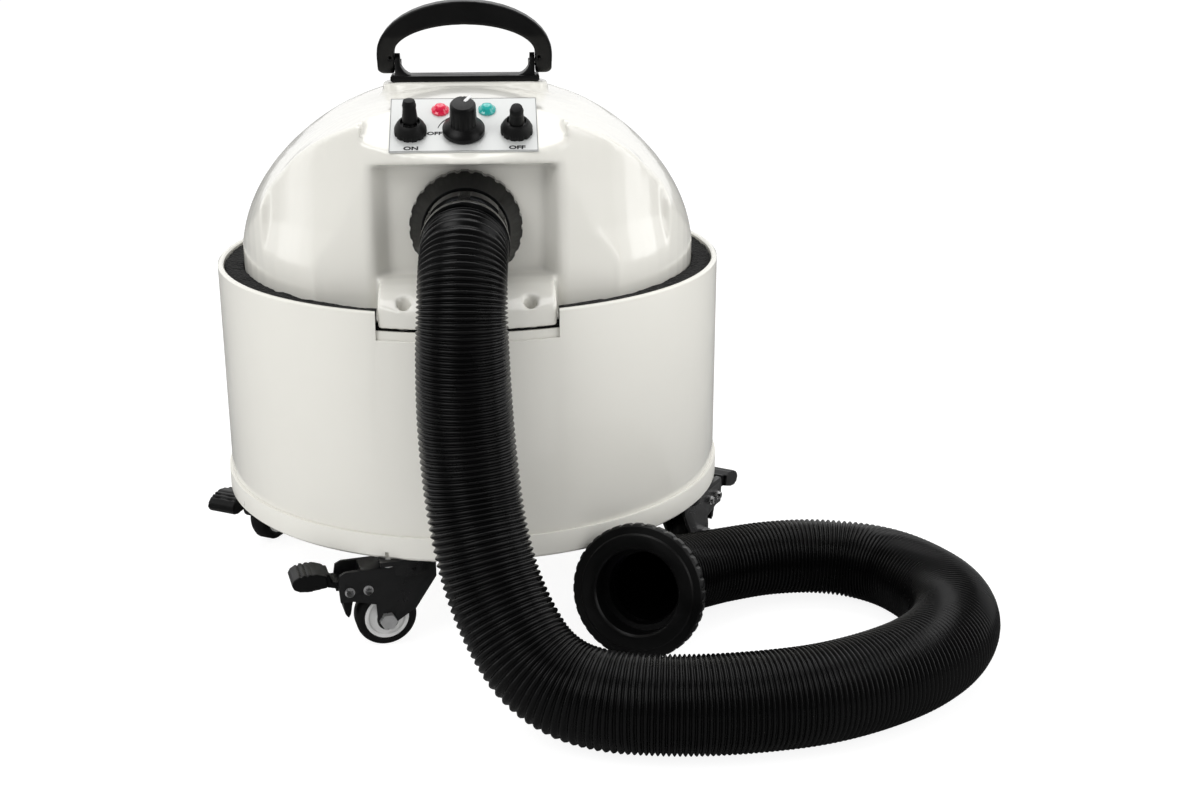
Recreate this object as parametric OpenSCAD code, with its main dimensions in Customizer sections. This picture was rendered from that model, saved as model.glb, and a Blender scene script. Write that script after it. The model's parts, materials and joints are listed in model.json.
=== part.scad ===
// Pet dryer: a round two-motor blower on four braked swivel casters, with a
// folding carry handle, a control panel and a corrugated hose.
// Frame: origin on the floor under the drum's axis, the hose outlet faces -Y, +Z is up.

/* [Drum] */
// Outside diameter of the drum wall
drum_d = 350; // [330:2:370]
// Wall thickness of the drum
drum_wall = 4; // [3:0.5:6]
// Height of the drum wall above the base tray
drum_h = 147; // [135:1:165]
// Width of the notch in the drum's front rim
notch_w = 113; // [105:1:120]
// Depth of the notch below the rim
notch_depth = 18; // [14:1:22]
// Height of the step left on the inside of the notch's floor
notch_step = 5.6; // [4:0.2:7]

/* [Base tray] */
// Height of the tray's outer ring
tray_h = 16; // [12:1:20]
// How far the ring stands out past the drum wall
tray_lip = 2; // [1:0.5:4]
// Thickness of the tray's floor
tray_floor = 4; // [3:0.5:6]

/* [Motor deck and filter] */
// Depth of the filter trough below the drum rim
trough_depth = 34; // [28:1:40]
// Thickness of the deck plate
deck_t = 4; // [3:0.5:6]
// Drop from the drum rim to the deck's top face
deck_drop = 14; // [12:1:18]
// Number of air slots in the trough floor
slot_count = 48; // [24:4:60]
// Height that the foam ring stands below the rim
foam_drop = 2; // [1:0.5:6]
// Width of the foam ring between the dome and the drum wall
foam_w = 13.2; // [12:0.2:16]
// Thickness of the seal under the dome's skirt
seal_t = 2; // [1.5:0.5:3]

/* [Dome housing] */
// Height from the drum rim to the crown of the dome
dome_h = 119; // [110:1:130]
// Wall thickness of the dome
dome_wall = 3; // [2:0.5:4]
// Height of the straight skirt that shows above the rim, negative when it starts below
spring_up = -3; // [-6:1:6]
// Squareness of the dome's cross section, 2 is an ellipse
dome_power = 2.1; // [2:0.05:2.4]
// Share of its width that the dome loses towards the front and back
dome_waist = 0.115; // [0.05:0.005:0.14]
// How far the front and back walls stand in from the skirt
cheek_set = 7.5; // [5:0.5:9]
// Half depth of the two side shells, measured from the middle
side_half = 83; // [76:1:90]

/* [Outlet recess] */
// Width of the recess at its mouth
recess_w = 110; // [104:1:112]
// Taper of each side wall towards the back wall
recess_draft = 5; // [3:0.5:8]
// Depth of the recess's back wall behind the front wall
recess_depth = 25.5; // [20:0.5:30]
// Height of the recess's upper lip above the drum rim
recess_top = 87; // [82:1:90]
// How far the ledge's front face stands in from the drum's outside
ledge_in = 3; // [2:0.5:6]
// Gap under the ledge's front face, over the notch's step
ledge_gap = 1.4; // [1:0.2:3]
// Spacing of the two ledge screws
ledge_screw_gap = 77.5; // [74:0.5:86]

/* [Control panel] */
// Width of the panel plate
panel_w = 91; // [88:1:98]
// Length of the panel plate up the slope
panel_l = 52; // [48:1:54]
// Distance of the plate from the foot of the slope
panel_up = 2.5; // [1:0.5:4]
// Thickness of the panel plate
panel_t = 1.2; // [0.8:0.2:2]
// Slope of the panel from the horizontal
panel_tilt = 30; // [26:1:34]
// Distance of the two switches from the middle
switch_x = 32.5; // [30:0.5:34]
// Distance of the switches and knob from the foot of the slope
switch_v = 21; // [19:0.5:24]
// Distance of the two lamps from the middle
lamp_x = 14.5; // [13:0.5:17]
// Distance of the lamps from the foot of the slope
lamp_v = 42; // [40:0.5:44]
// Diameter of a toggle boot at its foot
boot_d = 20; // [18:0.5:22]
// Length of a toggle lever above its pivot
lever_l = 21; // [18:0.5:26]
// Tilt of a toggle lever from upright
lever_tilt = 13; // [10:0.5:16]
// Diameter of the knob's skirt
knob_d = 26; // [24:0.5:28]
// Height of the knob
knob_h = 22; // [18:0.5:26]

/* [Handle] */
// Overall width of the handle
handle_w = 118; // [112:1:124]
// Height of the handle above its bracket's foot
handle_h = 53; // [48:1:58]
// Depth of the grip, front to back
grip_depth = 22; // [18:1:26]
// Thickness of the grip's top bar
grip_t = 15.5; // [13:0.5:18]
// Thickness of the grip's two legs
leg_t = 11.5; // [9:0.5:12]
// Height of the hinge pins above the bracket's foot
handle_pin_h = 12; // [11.5:0.5:14]
// Diameter of the hinge pins
handle_pin_d = 5; // [4:0.5:6]
// Distance of the handle in front of the axis
handle_y = 10; // [6:1:14]

/* [Outlet and hose] */
// Outside diameter of the outlet spigot
spigot_d = 46; // [43:0.5:48]
// Height of the outlet's centre above the drum rim
outlet_up = 45; // [42:0.5:50]
// Outside diameter of the lock nut
nut_d = 70.5; // [67:0.5:72]
// Length of the lock nut
nut_l = 22; // [21:0.5:28]
// Number of grip scallops round the lock nut
scallops = 26; // [20:1:32]
// Outside diameter of the hose at the dryer
hose_d = 53; // [51:0.5:56]
// Diameter of the end cuff's flange
cuff_d = 88; // [84:1:92]
// Bore of the end cuff
cuff_bore = 55; // [52:0.5:58]
// Length of the end cuff
cuff_l = 26; // [24:1:32]

/* [Casters] */
// Height of the tray above the floor
caster_h = 65; // [63:0.5:70]
// Distance of the four swivels in from the drum's outside
caster_inset = 20; // [18:1:25]
// Angle of the first caster, left of the front
caster_turn = 16.5; // [10:0.5:22]
// Diameter of the wheels
wheel_d = 40; // [38:0.5:42]
// Width of the tyres
wheel_w = 15; // [13:0.5:16]
// Distance of the axle behind the swivel
trail = 16; // [14:0.5:18]
// Width over the two fork plates
fork_w = 22; // [21:0.5:24]
// Diameter of the axle bolt
axle_d = 6; // [5:0.5:7]
// Diameter of the swivel pin
kingpin_d = 8; // [7:0.5:9]
// Travel of a brake pedal
brake_throw = 12; // [8:1:14]
// Side length of the square mounting plate
plate_w = 42; // [40:1:44]

/* [Motors] */
// Distance of each motor from the middle
motor_x = 61; // [60:0.5:66]
// Distance of the motors behind the axis
motor_y = 12; // [6:1:20]
// Outside diameter of the fan case
fan_d = 104; // [98:1:106]
// Outside diameter of the motor's upper body
motor_d = 84; // [78:1:88]
// Diameter of the motor shafts
shaft_d = 8; // [7:0.5:9]

/* [Hidden] */
$fn = 64;
eps = 0.01;
// Gap at a running fit, on the radius
run_fit = 0.05;
// Gap between two pieces that only clear each other
clear = 0.4;
// Gap between faces of pieces that turn past each other
face_gap = 0.3;

drum_r = drum_d / 2;
drum_in = drum_r - drum_wall;
tray_z = caster_h;
drum_z = tray_z + tray_h;
rim_z = drum_z + drum_h;
tray_r = drum_r + tray_lip;
notch_z = rim_z - notch_depth;

// Motor deck, trough and foam ring
deck_z = rim_z - deck_drop;
trough_z = rim_z - trough_depth;
trough_t = 3;
dome_r = drum_in - foam_w - 2 * clear;
cheek_r = dome_r - cheek_set;
deck_r = dome_r - 1;
deck_wall = 3;
shelf_w = 6;
shelf_t = 6;
foam_in = dome_r + clear;
foam_out = drum_in - clear;
foam_top = rim_z - foam_drop;

// Dome
skirt_z = deck_z + seal_t;
spring_z = rim_z + spring_up;
crown_z = rim_z + dome_h;
dome_rise = crown_z - spring_z;
// Distance from the middle over which the dome narrows
waist_y = 88;
flare_z = rim_z + 19;
flare_top = rim_z + 42;
// Fall of the vault along the middle, towards the front and towards the back
front_fall = 0.02;
back_fall = 0.16;
side_angle = asin(side_half / dome_r);
step_angle = 0.8;
// Steps from the wall's top edge in to the crown, as shares of its radius
crown_steps = [1, 0.995, 0.985, 0.97, 0.95, 0.925, 0.89, 0.845, 0.79, 0.72, 0.63, 0.52, 0.38, 0.2];

// Outlet recess and screw ledge
outlet_z = rim_z + outlet_up;
recess_z = rim_z + recess_top;
recess_floor = rim_z + 14.5;
recess_y = cheek_r - recess_depth;
roof_drop = 4;
recess_edge_r = 6;
recess_corner_r = 3;
ledge_r = drum_r - ledge_in;
ledge_z = notch_z + notch_step + ledge_gap;
ledge_w = notch_w - 2 * clear - 2;
ledge_screw_y = ledge_r - 12;
ledge_boss_r = 5;
rear_screw_y = sqrt(pow(dome_r - 6.5, 2) - pow(ledge_screw_gap / 2, 2));
screw_d = 4;
screw_head_d = 8;
screw_head_h = 3;

// Control panel, in a frame that lies on the slope
panel_y = 4.5 - cheek_r;
panel_z = rim_z + 92;
panel_wall = 3;
panel_edge = 2;
bush_d = 12;
pot_bush_d = 7;
knob_shaft_d = 6;
lamp_d = 8;
lamp_cap_d = 11;

// Handle
pad_w = handle_w - 6;
pad_d = 30;
pad_h = 2;
handle_z = crown_z + pad_h;
ear_t = 3.3;
ear_r = 6.2;
ear_gap = handle_w / 2 - leg_t - clear;
bracket_d = 22;
bracket_t = 3.8;
pin_z = handle_z + handle_pin_h;
pin_head_d = 9;
leg_foot = 7.4;
handle_screw_x = handle_w / 2 - 25;

// Outlet
spigot_r = spigot_d / 2;
spigot_t = 2.5;
spigot_l = 25;
flange_t = 3;
flange_r = spigot_r + 7;
nut_r = nut_d / 2;
nut_y = recess_y + clear;
nut_front = nut_y + nut_l;
sleeve_r = spigot_r + 0.2;
collar_r = hose_d / 2 - 0.5;
near_cuff_l = 42;
sleeve_back = recess_y + spigot_l + 1;
hose_y = nut_front + near_cuff_l;
cuff_flange_t = 4;

// Far end of the hose
cuff_r = cuff_d / 2;
cuff_at = [103, -188, cuff_r + 2];
cuff_turn = -114;
cuff_tilt = 13;
// Depth of the nozzle socket, and radius of the hose where it enters the cuff
socket_l = 16;
far_r = 27;

// Route of the hose: points and radius
hose_route = [
    [0, -hose_y, outlet_z, hose_d / 2],
    [-0.8, -hose_y - 11.5, outlet_z - 4, 26.5], [-1.7, -211.5, 256, 26.6], [-2.3, -219, 235, 27.2],
    [-2.5, -221.5, 205, 28.2], [-1.5, -224, 170, 29], [1.5, -230.5, 134, 29.3], [6, -240, 107, 29.3],
    [13, -251, 82, 29.3], [23, -264, 61, 29.3], [36, -277, 44, 29.3], [54, -288, 33.5, 29.3],
    [76, -297, 29.8, 29.3], [102, -303, 29.6, 29.3], [134, -305.5, 29.6, 29.3], [170, -303, 29.6, 29.3],
    [203, -296.5, 29.6, 29.3], [236, -283, 29.6, 29.3], [266, -264, 29.6, 29.3], [290, -239, 29.6, 29.3],
    [304.5, -209, 29.6, 29.3], [307, -177, 29.2, 28.8], [298, -146, 28.6, 28], [283, -121, 28, 27.2],
    [261, -105.5, 28, 26.5], [232, -100, 29, 26], [201, -103, 29.5, 25.7], [171, -113, 30, 25.7],
    [150, -124.5, 31.5, 26.2], [132.5, -138, 34.5, 26.8], [120.5, -151.5, 37.6, 27]
];
hose_sides = 12;

// Casters
wheel_r = wheel_d / 2;
tyre_t = 5.5;
hub_r = wheel_r - tyre_t;
fork_t = 2.5;
fork_in = fork_w / 2 - fork_t;
crown_top = caster_h - 8;
crown_t = 6;
plate_hole = plate_w / 2 - 6;
race_r = plate_hole * sqrt(2) - 4.2;
plate_t = 3;
axle_r = axle_d / 2;
king_r = kingpin_d / 2;
rivet_d = 5;
brake_pin = [trail + 24, 43];
stop_pin = [trail + 12, 43];
// Direction each caster trails in, as it happens to stand
caster_heading = [194, 58, 14, 242];
caster_r = drum_r - caster_inset;
caster_azimuth = [for (k = [0:3]) -90 - caster_turn + 90 * k];

// Motors
fan_r = fan_d / 2;
motor_r = motor_d / 2;
shaft_r = shaft_d / 2;
gasket_t = 1.5;
motor_wall = 2;
fan_low = 56;
motor_up = 48;
motor_flange = fan_r + 6;

// Mains gland in the drum's back wall
gland_z = drum_z + 24;
gland_r = 8;
gland_bore = 3.5;

// ---------- helpers ----------

module ring(r_out, r_in, h) {
    difference() {
        cylinder(r = r_out, h = h);
        translate([0, 0, -1]) cylinder(r = r_in, h = h + 2);
    }
}

// A ring at height z, from r_in to r_out
module ring_at(z, r_out, r_in, h) {
    translate([0, 0, z]) ring(r_out, r_in, h);
}

module mirror_x() {
    children();
    mirror([1, 0, 0]) children();
}

module mirror_y() {
    children();
    mirror([0, 1, 0]) children();
}

// Lies along -Y, from the recess's back wall outwards, on the outlet's axis
module outlet_axis() {
    translate([0, 0, outlet_z]) rotate([90, 0, 0]) children();
}

// Origin at the middle of the plate's lower edge, +Y up the slope, +Z out of it
module on_panel() {
    translate([0, panel_y, panel_z]) rotate([panel_tilt, 0, 0]) children();
}

module screw_down(d, l, head_d, head_h) {
    translate([0, 0, -l]) cylinder(d = d, h = l + eps, $fn = 24);
    difference() {
        cylinder(d = head_d, h = head_h, $fn = 24);
        translate([0, 0, head_h / 2]) cylinder(d = head_d / 3, h = head_h, $fn = 6);
    }
}

// ---------- base and drum ----------

post_r = 8;
post_at = dome_r - 29;
screw_core = 1.9;

module base_tray() {
    color("whitesmoke") difference() {
        union() {
            rotate_extrude($fn = 128) polygon([
                [0, tray_z], [tray_r - 2, tray_z], [tray_r, tray_z + 2], [tray_r, drum_z],
                [drum_in - clear, drum_z], [drum_in - clear, drum_z + 8],
                [drum_in - 3, drum_z + 8], [drum_in - 3, tray_z + tray_floor],
                [0, tray_z + tray_floor]
            ]);
            for (k = [0:3]) rotate(45 + 90 * k) translate([post_at, 0, tray_z + eps])
                cylinder(r = post_r, h = deck_z - deck_t - tray_z - eps);
        }
        for (k = [0:3]) rotate(45 + 90 * k) translate([post_at, 0, deck_z - 25])
            cylinder(r = screw_core, h = 30, $fn = 24);
        caster_places() for (x = [-1, 1], y = [-1, 1])
            translate([x * plate_hole, y * plate_hole, tray_z - 1])
                cylinder(r = screw_core, h = tray_floor + 2, $fn = 24);
    }
}

module drum_shell() {
    color("ivory") difference() {
        union() {
            rotate_extrude($fn = 128) polygon([
                [drum_in, drum_z], [drum_r, drum_z], [drum_r, rim_z - 1], [drum_r - 1, rim_z],
                [drum_in + 1, rim_z], [drum_in, rim_z - 1]
            ]);
            ring_at(trough_z - trough_t - shelf_t, drum_in + 1, drum_in - shelf_w, shelf_t);
        }
        translate([-notch_w / 2, -drum_r - 5, notch_z + notch_step]) cube([notch_w, 40, notch_depth]);
        difference() {
            translate([-notch_w / 2, -drum_r - 5, notch_z]) cube([notch_w, 40, notch_depth]);
            cylinder(r = drum_r - drum_wall / 2, h = rim_z + 1, $fn = 128);
        }
        translate([0, drum_r - drum_wall - 2, gland_z]) rotate([-90, 0, 0])
            cylinder(r = gland_r, h = drum_wall + 6);
    }
}

module motor_deck() {
    color("gainsboro") difference() {
        union() {
            rotate_extrude($fn = 128) polygon([
                [0, deck_z - deck_t], [deck_r - deck_wall, deck_z - deck_t],
                [deck_r - deck_wall, trough_z - trough_t], [drum_in - clear, trough_z - trough_t],
                [drum_in - clear, trough_z], [deck_r, trough_z], [deck_r, deck_z], [0, deck_z]
            ]);
            board_posts();
            ledge_screws_at() translate([0, 0, trough_z - eps])
                cylinder(r = ledge_boss_r, h = ledge_z - face_gap - trough_z, $fn = 32);
        }
        for (a = [0:slot_count - 1]) rotate(a * 360 / slot_count)
            translate([deck_r + 2, -2.5, trough_z - trough_t - 1])
                cube([drum_in - shelf_w - deck_r - 3, 5, trough_t + 2]);
        motor_places() translate([0, 0, deck_z - deck_t - 1])
            cylinder(r = fan_r + 0.5, h = deck_t + 2);
        for (k = [0:3]) rotate(45 + 90 * k) translate([post_at, 0, deck_z - deck_t - 1])
            cylinder(r = screw_d / 2 + 0.2, h = deck_t + 2, $fn = 24);
        ledge_screws_at() translate([0, 0, trough_z + 2]) cylinder(r = screw_core, h = 30, $fn = 24);
        rear_screws_at() translate([0, 0, deck_z - deck_t - 1])
            cylinder(r = screw_d / 2 + 0.2, h = deck_t + 2, $fn = 24);
    }
}

module foam_filter() {
    color("dimgray") difference() {
        translate([0, 0, trough_z + face_gap])
            ring(foam_out, foam_in, foam_top - trough_z - face_gap);
        translate([-ledge_w / 2 - 1, -drum_r, ledge_z - face_gap]) cube([ledge_w + 2, 60, 40]);
        ledge_screws_at() translate([0, 0, trough_z]) cylinder(r = ledge_boss_r + clear, h = 40, $fn = 32);
    }
}

module deck_seal() {
    color("black") difference() {
        ring_at(deck_z, deck_r, deck_r - 6, seal_t);
        rear_screws_at() translate([0, 0, deck_z - 1])
            cylinder(r = screw_d / 2 + 0.2, h = seal_t + 2, $fn = 24);
    }
}

// ---------- dome housing ----------

// Height of the vault above a point: super-ellipse sections that narrow to the front and back
function vault_z(x, y, inset) =
    let (
        k = pow(min(1, abs(y) / waist_y), 2),
        half = (dome_r + 0.5) * (1 - dome_waist * k) - inset,
        rise = dome_rise * (1 - (y > 0 ? back_fall : front_fall) * pow(y / cheek_r, 2)) - inset,
        power = dome_power + 0.3 * k
    )
    spring_z + rise * pow(max(0, 1 - pow(min(1, abs(x) / half), power)), 1 / power);

// Radius of the front and back walls: flush with the skirt, then drawn in and slightly drafted
function cheek_at(z) =
    z < flare_z ? dome_r
    : z < flare_top ? dome_r - (dome_r - cheek_r - 2.5) * (z - flare_z) / (flare_top - flare_z)
    : cheek_r + 2.5 - 2.5 * min(1, (z - flare_top) / 30) - 0.04 * max(0, z - flare_top - 30);

function wall_at(side, z) = side ? dome_r : cheek_at(z);

// One upright column of the dome's skin, from its lower edge to just beside the crown
function skin_column(a, side, inset, low) =
    let (
        guess = wall_at(side, rim_z + 90) - inset,
        r1 = wall_at(side, vault_z(guess * cos(a), guess * sin(a), inset)) - inset,
        top = vault_z(r1 * cos(a), r1 * sin(a), inset),
        r2 = wall_at(side, top) - inset,
        z1 = min(flare_z, low + 0.4 * (top - low)),
        z2 = min(flare_top, low + 0.7 * (top - low)),
        z3 = (z2 + top) / 2,
        walls = [for (z = [low, z1, z2, z3])
            let (r = wall_at(side, z) - inset)
            [r * cos(a), r * sin(a), z]],
        vault = [for (t = crown_steps)
            [r2 * t * cos(a), r2 * t * sin(a), vault_z(r2 * t * cos(a), r2 * t * sin(a), inset)]]
    )
    concat(walls, vault);

// The dome as one closed form: two round side shells, a vault, and flat-sided front and back
module dome_form(inset, low, step) {
    edge = side_angle - (inset > 0 ? 1 : 0);
    n_side = ceil(edge / step);
    n_front = ceil((90 - edge) / step);
    quarter = concat(
        [for (i = [0:n_side]) [edge * i / n_side, true]],
        [for (i = [0:n_front]) [edge + step_angle + (90 - edge - step_angle) * i / n_front, false]]
    );
    m = len(quarter);
    around = concat(
        quarter,
        [for (i = [m - 2:-1:0]) [180 - quarter[i][0], quarter[i][1]]],
        [for (i = [1:m - 1]) [180 + quarter[i][0], quarter[i][1]]],
        [for (i = [m - 2:-1:1]) [360 - quarter[i][0], quarter[i][1]]]
    );
    n = len(around);
    rows = 4 + len(crown_steps);
    points = [for (w = around) each skin_column(w[0], w[1], inset, low)];
    skin = [for (i = [0:n - 1]) for (k = [0:rows - 2])
        let (j = (i + 1) % n)
        each [[i * rows + k, i * rows + k + 1, j * rows + k + 1], [i * rows + k, j * rows + k + 1, j * rows + k]]];
    crown = [for (i = [0:n - 1]) [n * rows, ((i + 1) % n) * rows + rows - 1, i * rows + rows - 1]];
    foot = [[for (i = [0:n - 1]) i * rows]];
    polyhedron(concat(points, [[0, 0, vault_z(0, 0, inset)]]), concat(skin, crown, foot));
}

// Half width of the panel's flat at a distance up the slope
function flat_half(v) = panel_w / 2 + 1 + 17 * sqrt(1 - pow(min(1, v / 58), 2));

// Everything above the panel's slope, inside its curved side edges
module panel_cut(lift) {
    on_panel() translate([0, 0, lift]) linear_extrude(height = 40) polygon(concat(
        [[-flat_half(0), -14], [flat_half(0), -14]],
        [for (v = [0:4:56]) [flat_half(v), v]],
        [[panel_w / 2 + 1, 58], [panel_w / 2 + 1, 62], [-panel_w / 2 - 1, 62], [-panel_w / 2 - 1, 58]],
        [for (v = [56:-4:0]) [-flat_half(v), v]]
    ));
}

// Plan of the recess, with rounded back corners and mouth edges and a straight side between them
function recess_side(grow) =
    let (
        c = [recess_w / 2 - recess_draft - recess_corner_r, -recess_y - recess_corner_r],
        x = recess_w / 2 + recess_edge_r,
        m = [x, -sqrt(pow(cheek_r - recess_edge_r, 2) - x * x)],
        turn = 90 + atan2(m[1] - c[1], m[0] - c[0]) - asin((recess_corner_r + recess_edge_r) / norm(m - c)),
        rc = recess_corner_r + grow,
        rm = recess_edge_r - grow
    )
    concat(
        [for (i = [0:3]) let (a = 90 + (turn - 90) * i / 3) c + rc * [cos(a), sin(a)]],
        [for (i = [0:6]) let (a = 180 + turn + (110 - turn) * i / 6) m + rm * [cos(a), sin(a)]],
        [m + [rm * cos(290) + 38, rm * sin(290) + 14], [m[0] + 42, -dome_r - 30]]
    );

module recess_block(grow) {
    half = recess_side(grow);
    n = len(half);
    low = grow > 0 ? skirt_z - 1 : ledge_z;
    intersection() {
        translate([0, 0, low]) linear_extrude(height = 130) polygon(concat(
            half, [for (i = [n - 1:-1:0]) [-half[i][0], half[i][1]]]
        ));
        rotate([90, 0, 90]) translate([0, 0, -dome_r]) linear_extrude(height = 2 * dome_r) polygon([
            [-dome_r - 30, low], [-dome_r - 30, recess_z + grow], [-cheek_r, recess_z + grow],
            [-recess_y + grow, recess_z - roof_drop + grow], [-recess_y + grow, low]
        ]);
    }
}

// Screw ledge: a sloping shelf that fills the drum's notch
module screw_ledge() {
    intersection() {
        rotate([90, 0, 90]) translate([0, 0, -ledge_w / 2]) linear_extrude(height = ledge_w) polygon([
            [-ledge_r, ledge_z], [-ledge_r, ledge_z + 3], [-ledge_r + 2, recess_floor - 18.5],
            [-ledge_r + 5, recess_floor - 14.8], [-ledge_r + 8.5, recess_floor - 12],
            [-ledge_r + 13, recess_floor - 8.8],
            [-ledge_r + 20, recess_floor - 5.2], [-ledge_r + 27, recess_floor - 2.8],
            [-ledge_r + 37, recess_floor - 1], [-recess_y, recess_floor],
            [-recess_y + dome_wall, recess_floor], [-recess_y + dome_wall, ledge_z]
        ]);
        translate([0, 0, ledge_z - 1]) cylinder(r = ledge_r, h = 60, $fn = 128);
    }
}

// Room for the lock nut to turn in
module nut_room() {
    outlet_axis() translate([0, 0, recess_y]) cylinder(r = nut_r + 2 * clear, h = 60, $fn = 96);
}

module ledge_screws_at() {
    mirror_x() translate([ledge_screw_gap / 2, -ledge_screw_y, 0]) children();
}

module rear_screws_at() {
    mirror_x() translate([ledge_screw_gap / 2, rear_screw_y, 0]) children();
}

module handle_pad() {
    hull() mirror_x() translate([pad_w / 2 - pad_d / 2, -handle_y, crown_z - 20])
        cylinder(d = pad_d, h = 20 + pad_h, $fn = 48);
}

ledge_head_z = ledge_z + 5;

module dome_housing() {
    color("ivory") difference() {
        union() {
            difference() {
                union() {
                    dome_form(0, skirt_z, 5);
                    handle_pad();
                }
                difference() {
                    dome_form(dome_wall, skirt_z - 1, 9);
                    panel_cut(-panel_wall);
                    recess_block(dome_wall);
                }
            }
            screw_ledge();
            rear_screws_at() translate([0, 0, skirt_z]) cylinder(r = 5.5, h = 22);
        }
        panel_cut(0);
        difference() {
            recess_block(0);
            screw_ledge();
        }
        nut_room();
        outlet_axis() translate([0, 0, recess_y - dome_wall - 1]) cylinder(r = spigot_r + 0.2, h = 20);
        ledge_screws_at() {
            translate([0, 0, ledge_z - 1]) cylinder(r = screw_d / 2 + 0.2, h = 40, $fn = 24);
            translate([0, 0, ledge_head_z]) cylinder(d = screw_head_d + 0.6, h = 40, $fn = 32);
        }
        rear_screws_at() translate([0, 0, skirt_z - 1]) cylinder(r = screw_core, h = 16, $fn = 24);
        on_panel() {
            mirror_x() translate([switch_x, switch_v, -20]) cylinder(r = bush_d / 2 + 0.2, h = 25);
            mirror_x() translate([lamp_x, lamp_v, -20]) cylinder(r = lamp_d / 2 + 0.2, h = 25);
            translate([0, switch_v, -20]) cylinder(r = pot_bush_d / 2 + 0.2, h = 25);
        }
        mirror_x() translate([handle_screw_x, -handle_y, crown_z - 20])
            cylinder(r = screw_core, h = 30, $fn = 24);
    }
}

module housing_screws() {
    color("silver") {
        ledge_screws_at() translate([0, 0, ledge_head_z])
            screw_down(screw_core * 2, ledge_head_z - trough_z - 4, screw_head_d, screw_head_h);
        rear_screws_at() translate([0, 0, deck_z - deck_t]) rotate([180, 0, 0])
            screw_down(screw_core * 2, deck_t + seal_t + 12, screw_head_d, screw_head_h);
        for (k = [0:3]) rotate(45 + 90 * k) translate([post_at, 0, deck_z])
            screw_down(screw_core * 2, deck_t + 20, screw_head_d, screw_head_h);
    }
}

// ---------- outlet and hose ----------

module outlet_spigot() {
    color("dimgray") outlet_axis() rotate_extrude($fn = 96) polygon([
        [spigot_r - spigot_t, recess_y - dome_wall - flange_t],
        [flange_r, recess_y - dome_wall - flange_t], [flange_r, recess_y - dome_wall],
        [spigot_r, recess_y - dome_wall], [spigot_r, recess_y + spigot_l - 1],
        [spigot_r - 1, recess_y + spigot_l], [spigot_r - spigot_t, recess_y + spigot_l]
    ]);
}

module hose_lock_nut() {
    lip_r = collar_r + clear;
    color([0.08, 0.08, 0.08]) outlet_axis() difference() {
        rotate_extrude($fn = 96) polygon([
            [spigot_r + run_fit, nut_y], [nut_r - 1, nut_y], [nut_r, nut_y + 1], [nut_r, nut_y + 9],
            [nut_r - 1.2, nut_y + 10.5], [collar_r + 1.8, nut_front - 0.8], [collar_r + 1.4, nut_front],
            [lip_r, nut_front], [lip_r, nut_front - 3], [collar_r + 2, nut_front - 3],
            [collar_r + 2, nut_front - 8.5], [spigot_r + run_fit, nut_front - 8.5]
        ]);
        for (a = [0:scallops - 1]) rotate(a * 360 / scallops)
            translate([nut_r + 2.1, 0, nut_y - 1]) cylinder(r = 3, h = 11, $fn = 24);
    }
}

module near_cuff() {
    back = nut_front - 8;
    color([0.08, 0.08, 0.08]) outlet_axis() difference() {
        rotate_extrude($fn = 96) polygon([
            [sleeve_r, back], [collar_r + 1.4, back], [collar_r + 1.4, back + cuff_flange_t],
            [collar_r, back + cuff_flange_t], [collar_r, hose_y - 10], [collar_r + 0.8, hose_y - 9],
            [collar_r + 0.8, hose_y], [sleeve_r, hose_y]
        ]);
        for (a = [0:5]) rotate(a * 60 - 22) translate([0, 0, hose_y - 26])
            rotate_extrude(angle = 44, $fn = 96) translate([sleeve_r - 1, 0]) square([6, 15]);
    }
}

module near_sleeve() {
    color("silver") outlet_axis() ring_at(sleeve_back, sleeve_r - 0.05, sleeve_r - 2, hose_y - sleeve_back - 1);
}

// Points of a smooth curve through the route
function route_point(i) = hose_route[min(max(i, 0), len(hose_route) - 1)];
function catmull(a, b, c, d, t) =
    0.5 * ((2 * b) + (c - a) * t + (2 * a - 5 * b + 4 * c - d) * t * t + (3 * b - a - 3 * c + d) * t * t * t);

// One ring of the hose, square to its direction
function ring_points(p, dir, r) =
    let (
        side = cross([0, 0, 1], dir),
        u = norm(side) < 0.05 ? [1, 0, 0] : side / norm(side),
        v = cross(dir, u)
    )
    [for (k = [0:hose_sides - 1]) p + r * (cos(360 * k / hose_sides) * u + sin(360 * k / hose_sides) * v)];

module hose() {
    ways = [for (i = [0:len(hose_route) - 2]) for (t = [0, 0.5]) catmull(
        route_point(i - 1), route_point(i), route_point(i + 1), route_point(i + 2), t)];
    path = concat(ways, [route_point(len(hose_route) - 1), concat(cuff_back, [far_r])]);
    n = len(path);
    rings = [for (i = [0:n - 1])
        let (
            a = path[max(i - 1, 0)], b = path[min(i + 1, n - 1)],
            d = i == 0 ? [0, -1, 0] : i == n - 1 ? cuff_axis : [b[0] - a[0], b[1] - a[1], b[2] - a[2]]
        )
        ring_points([path[i][0], path[i][1], path[i][2]], d / norm(d), path[i][3])];
    points = [for (r = rings) each r];
    m = hose_sides;
    walls = [for (i = [0:n - 2]) for (k = [0:m - 1])
        [i * m + k, (i + 1) * m + k, (i + 1) * m + (k + 1) % m, i * m + (k + 1) % m]];
    first = [for (k = [0:m - 1]) k];
    last = [for (k = [0:m - 1]) (n - 1) * m + m - 1 - k];
    color([0.07, 0.07, 0.07]) polyhedron(points, concat([first], walls, [last]));
}

cuff_axis = [cos(cuff_turn) * cos(cuff_tilt), sin(cuff_turn) * cos(cuff_tilt), sin(cuff_tilt)];
cuff_back = cuff_at - cuff_l * cuff_axis;

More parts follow.
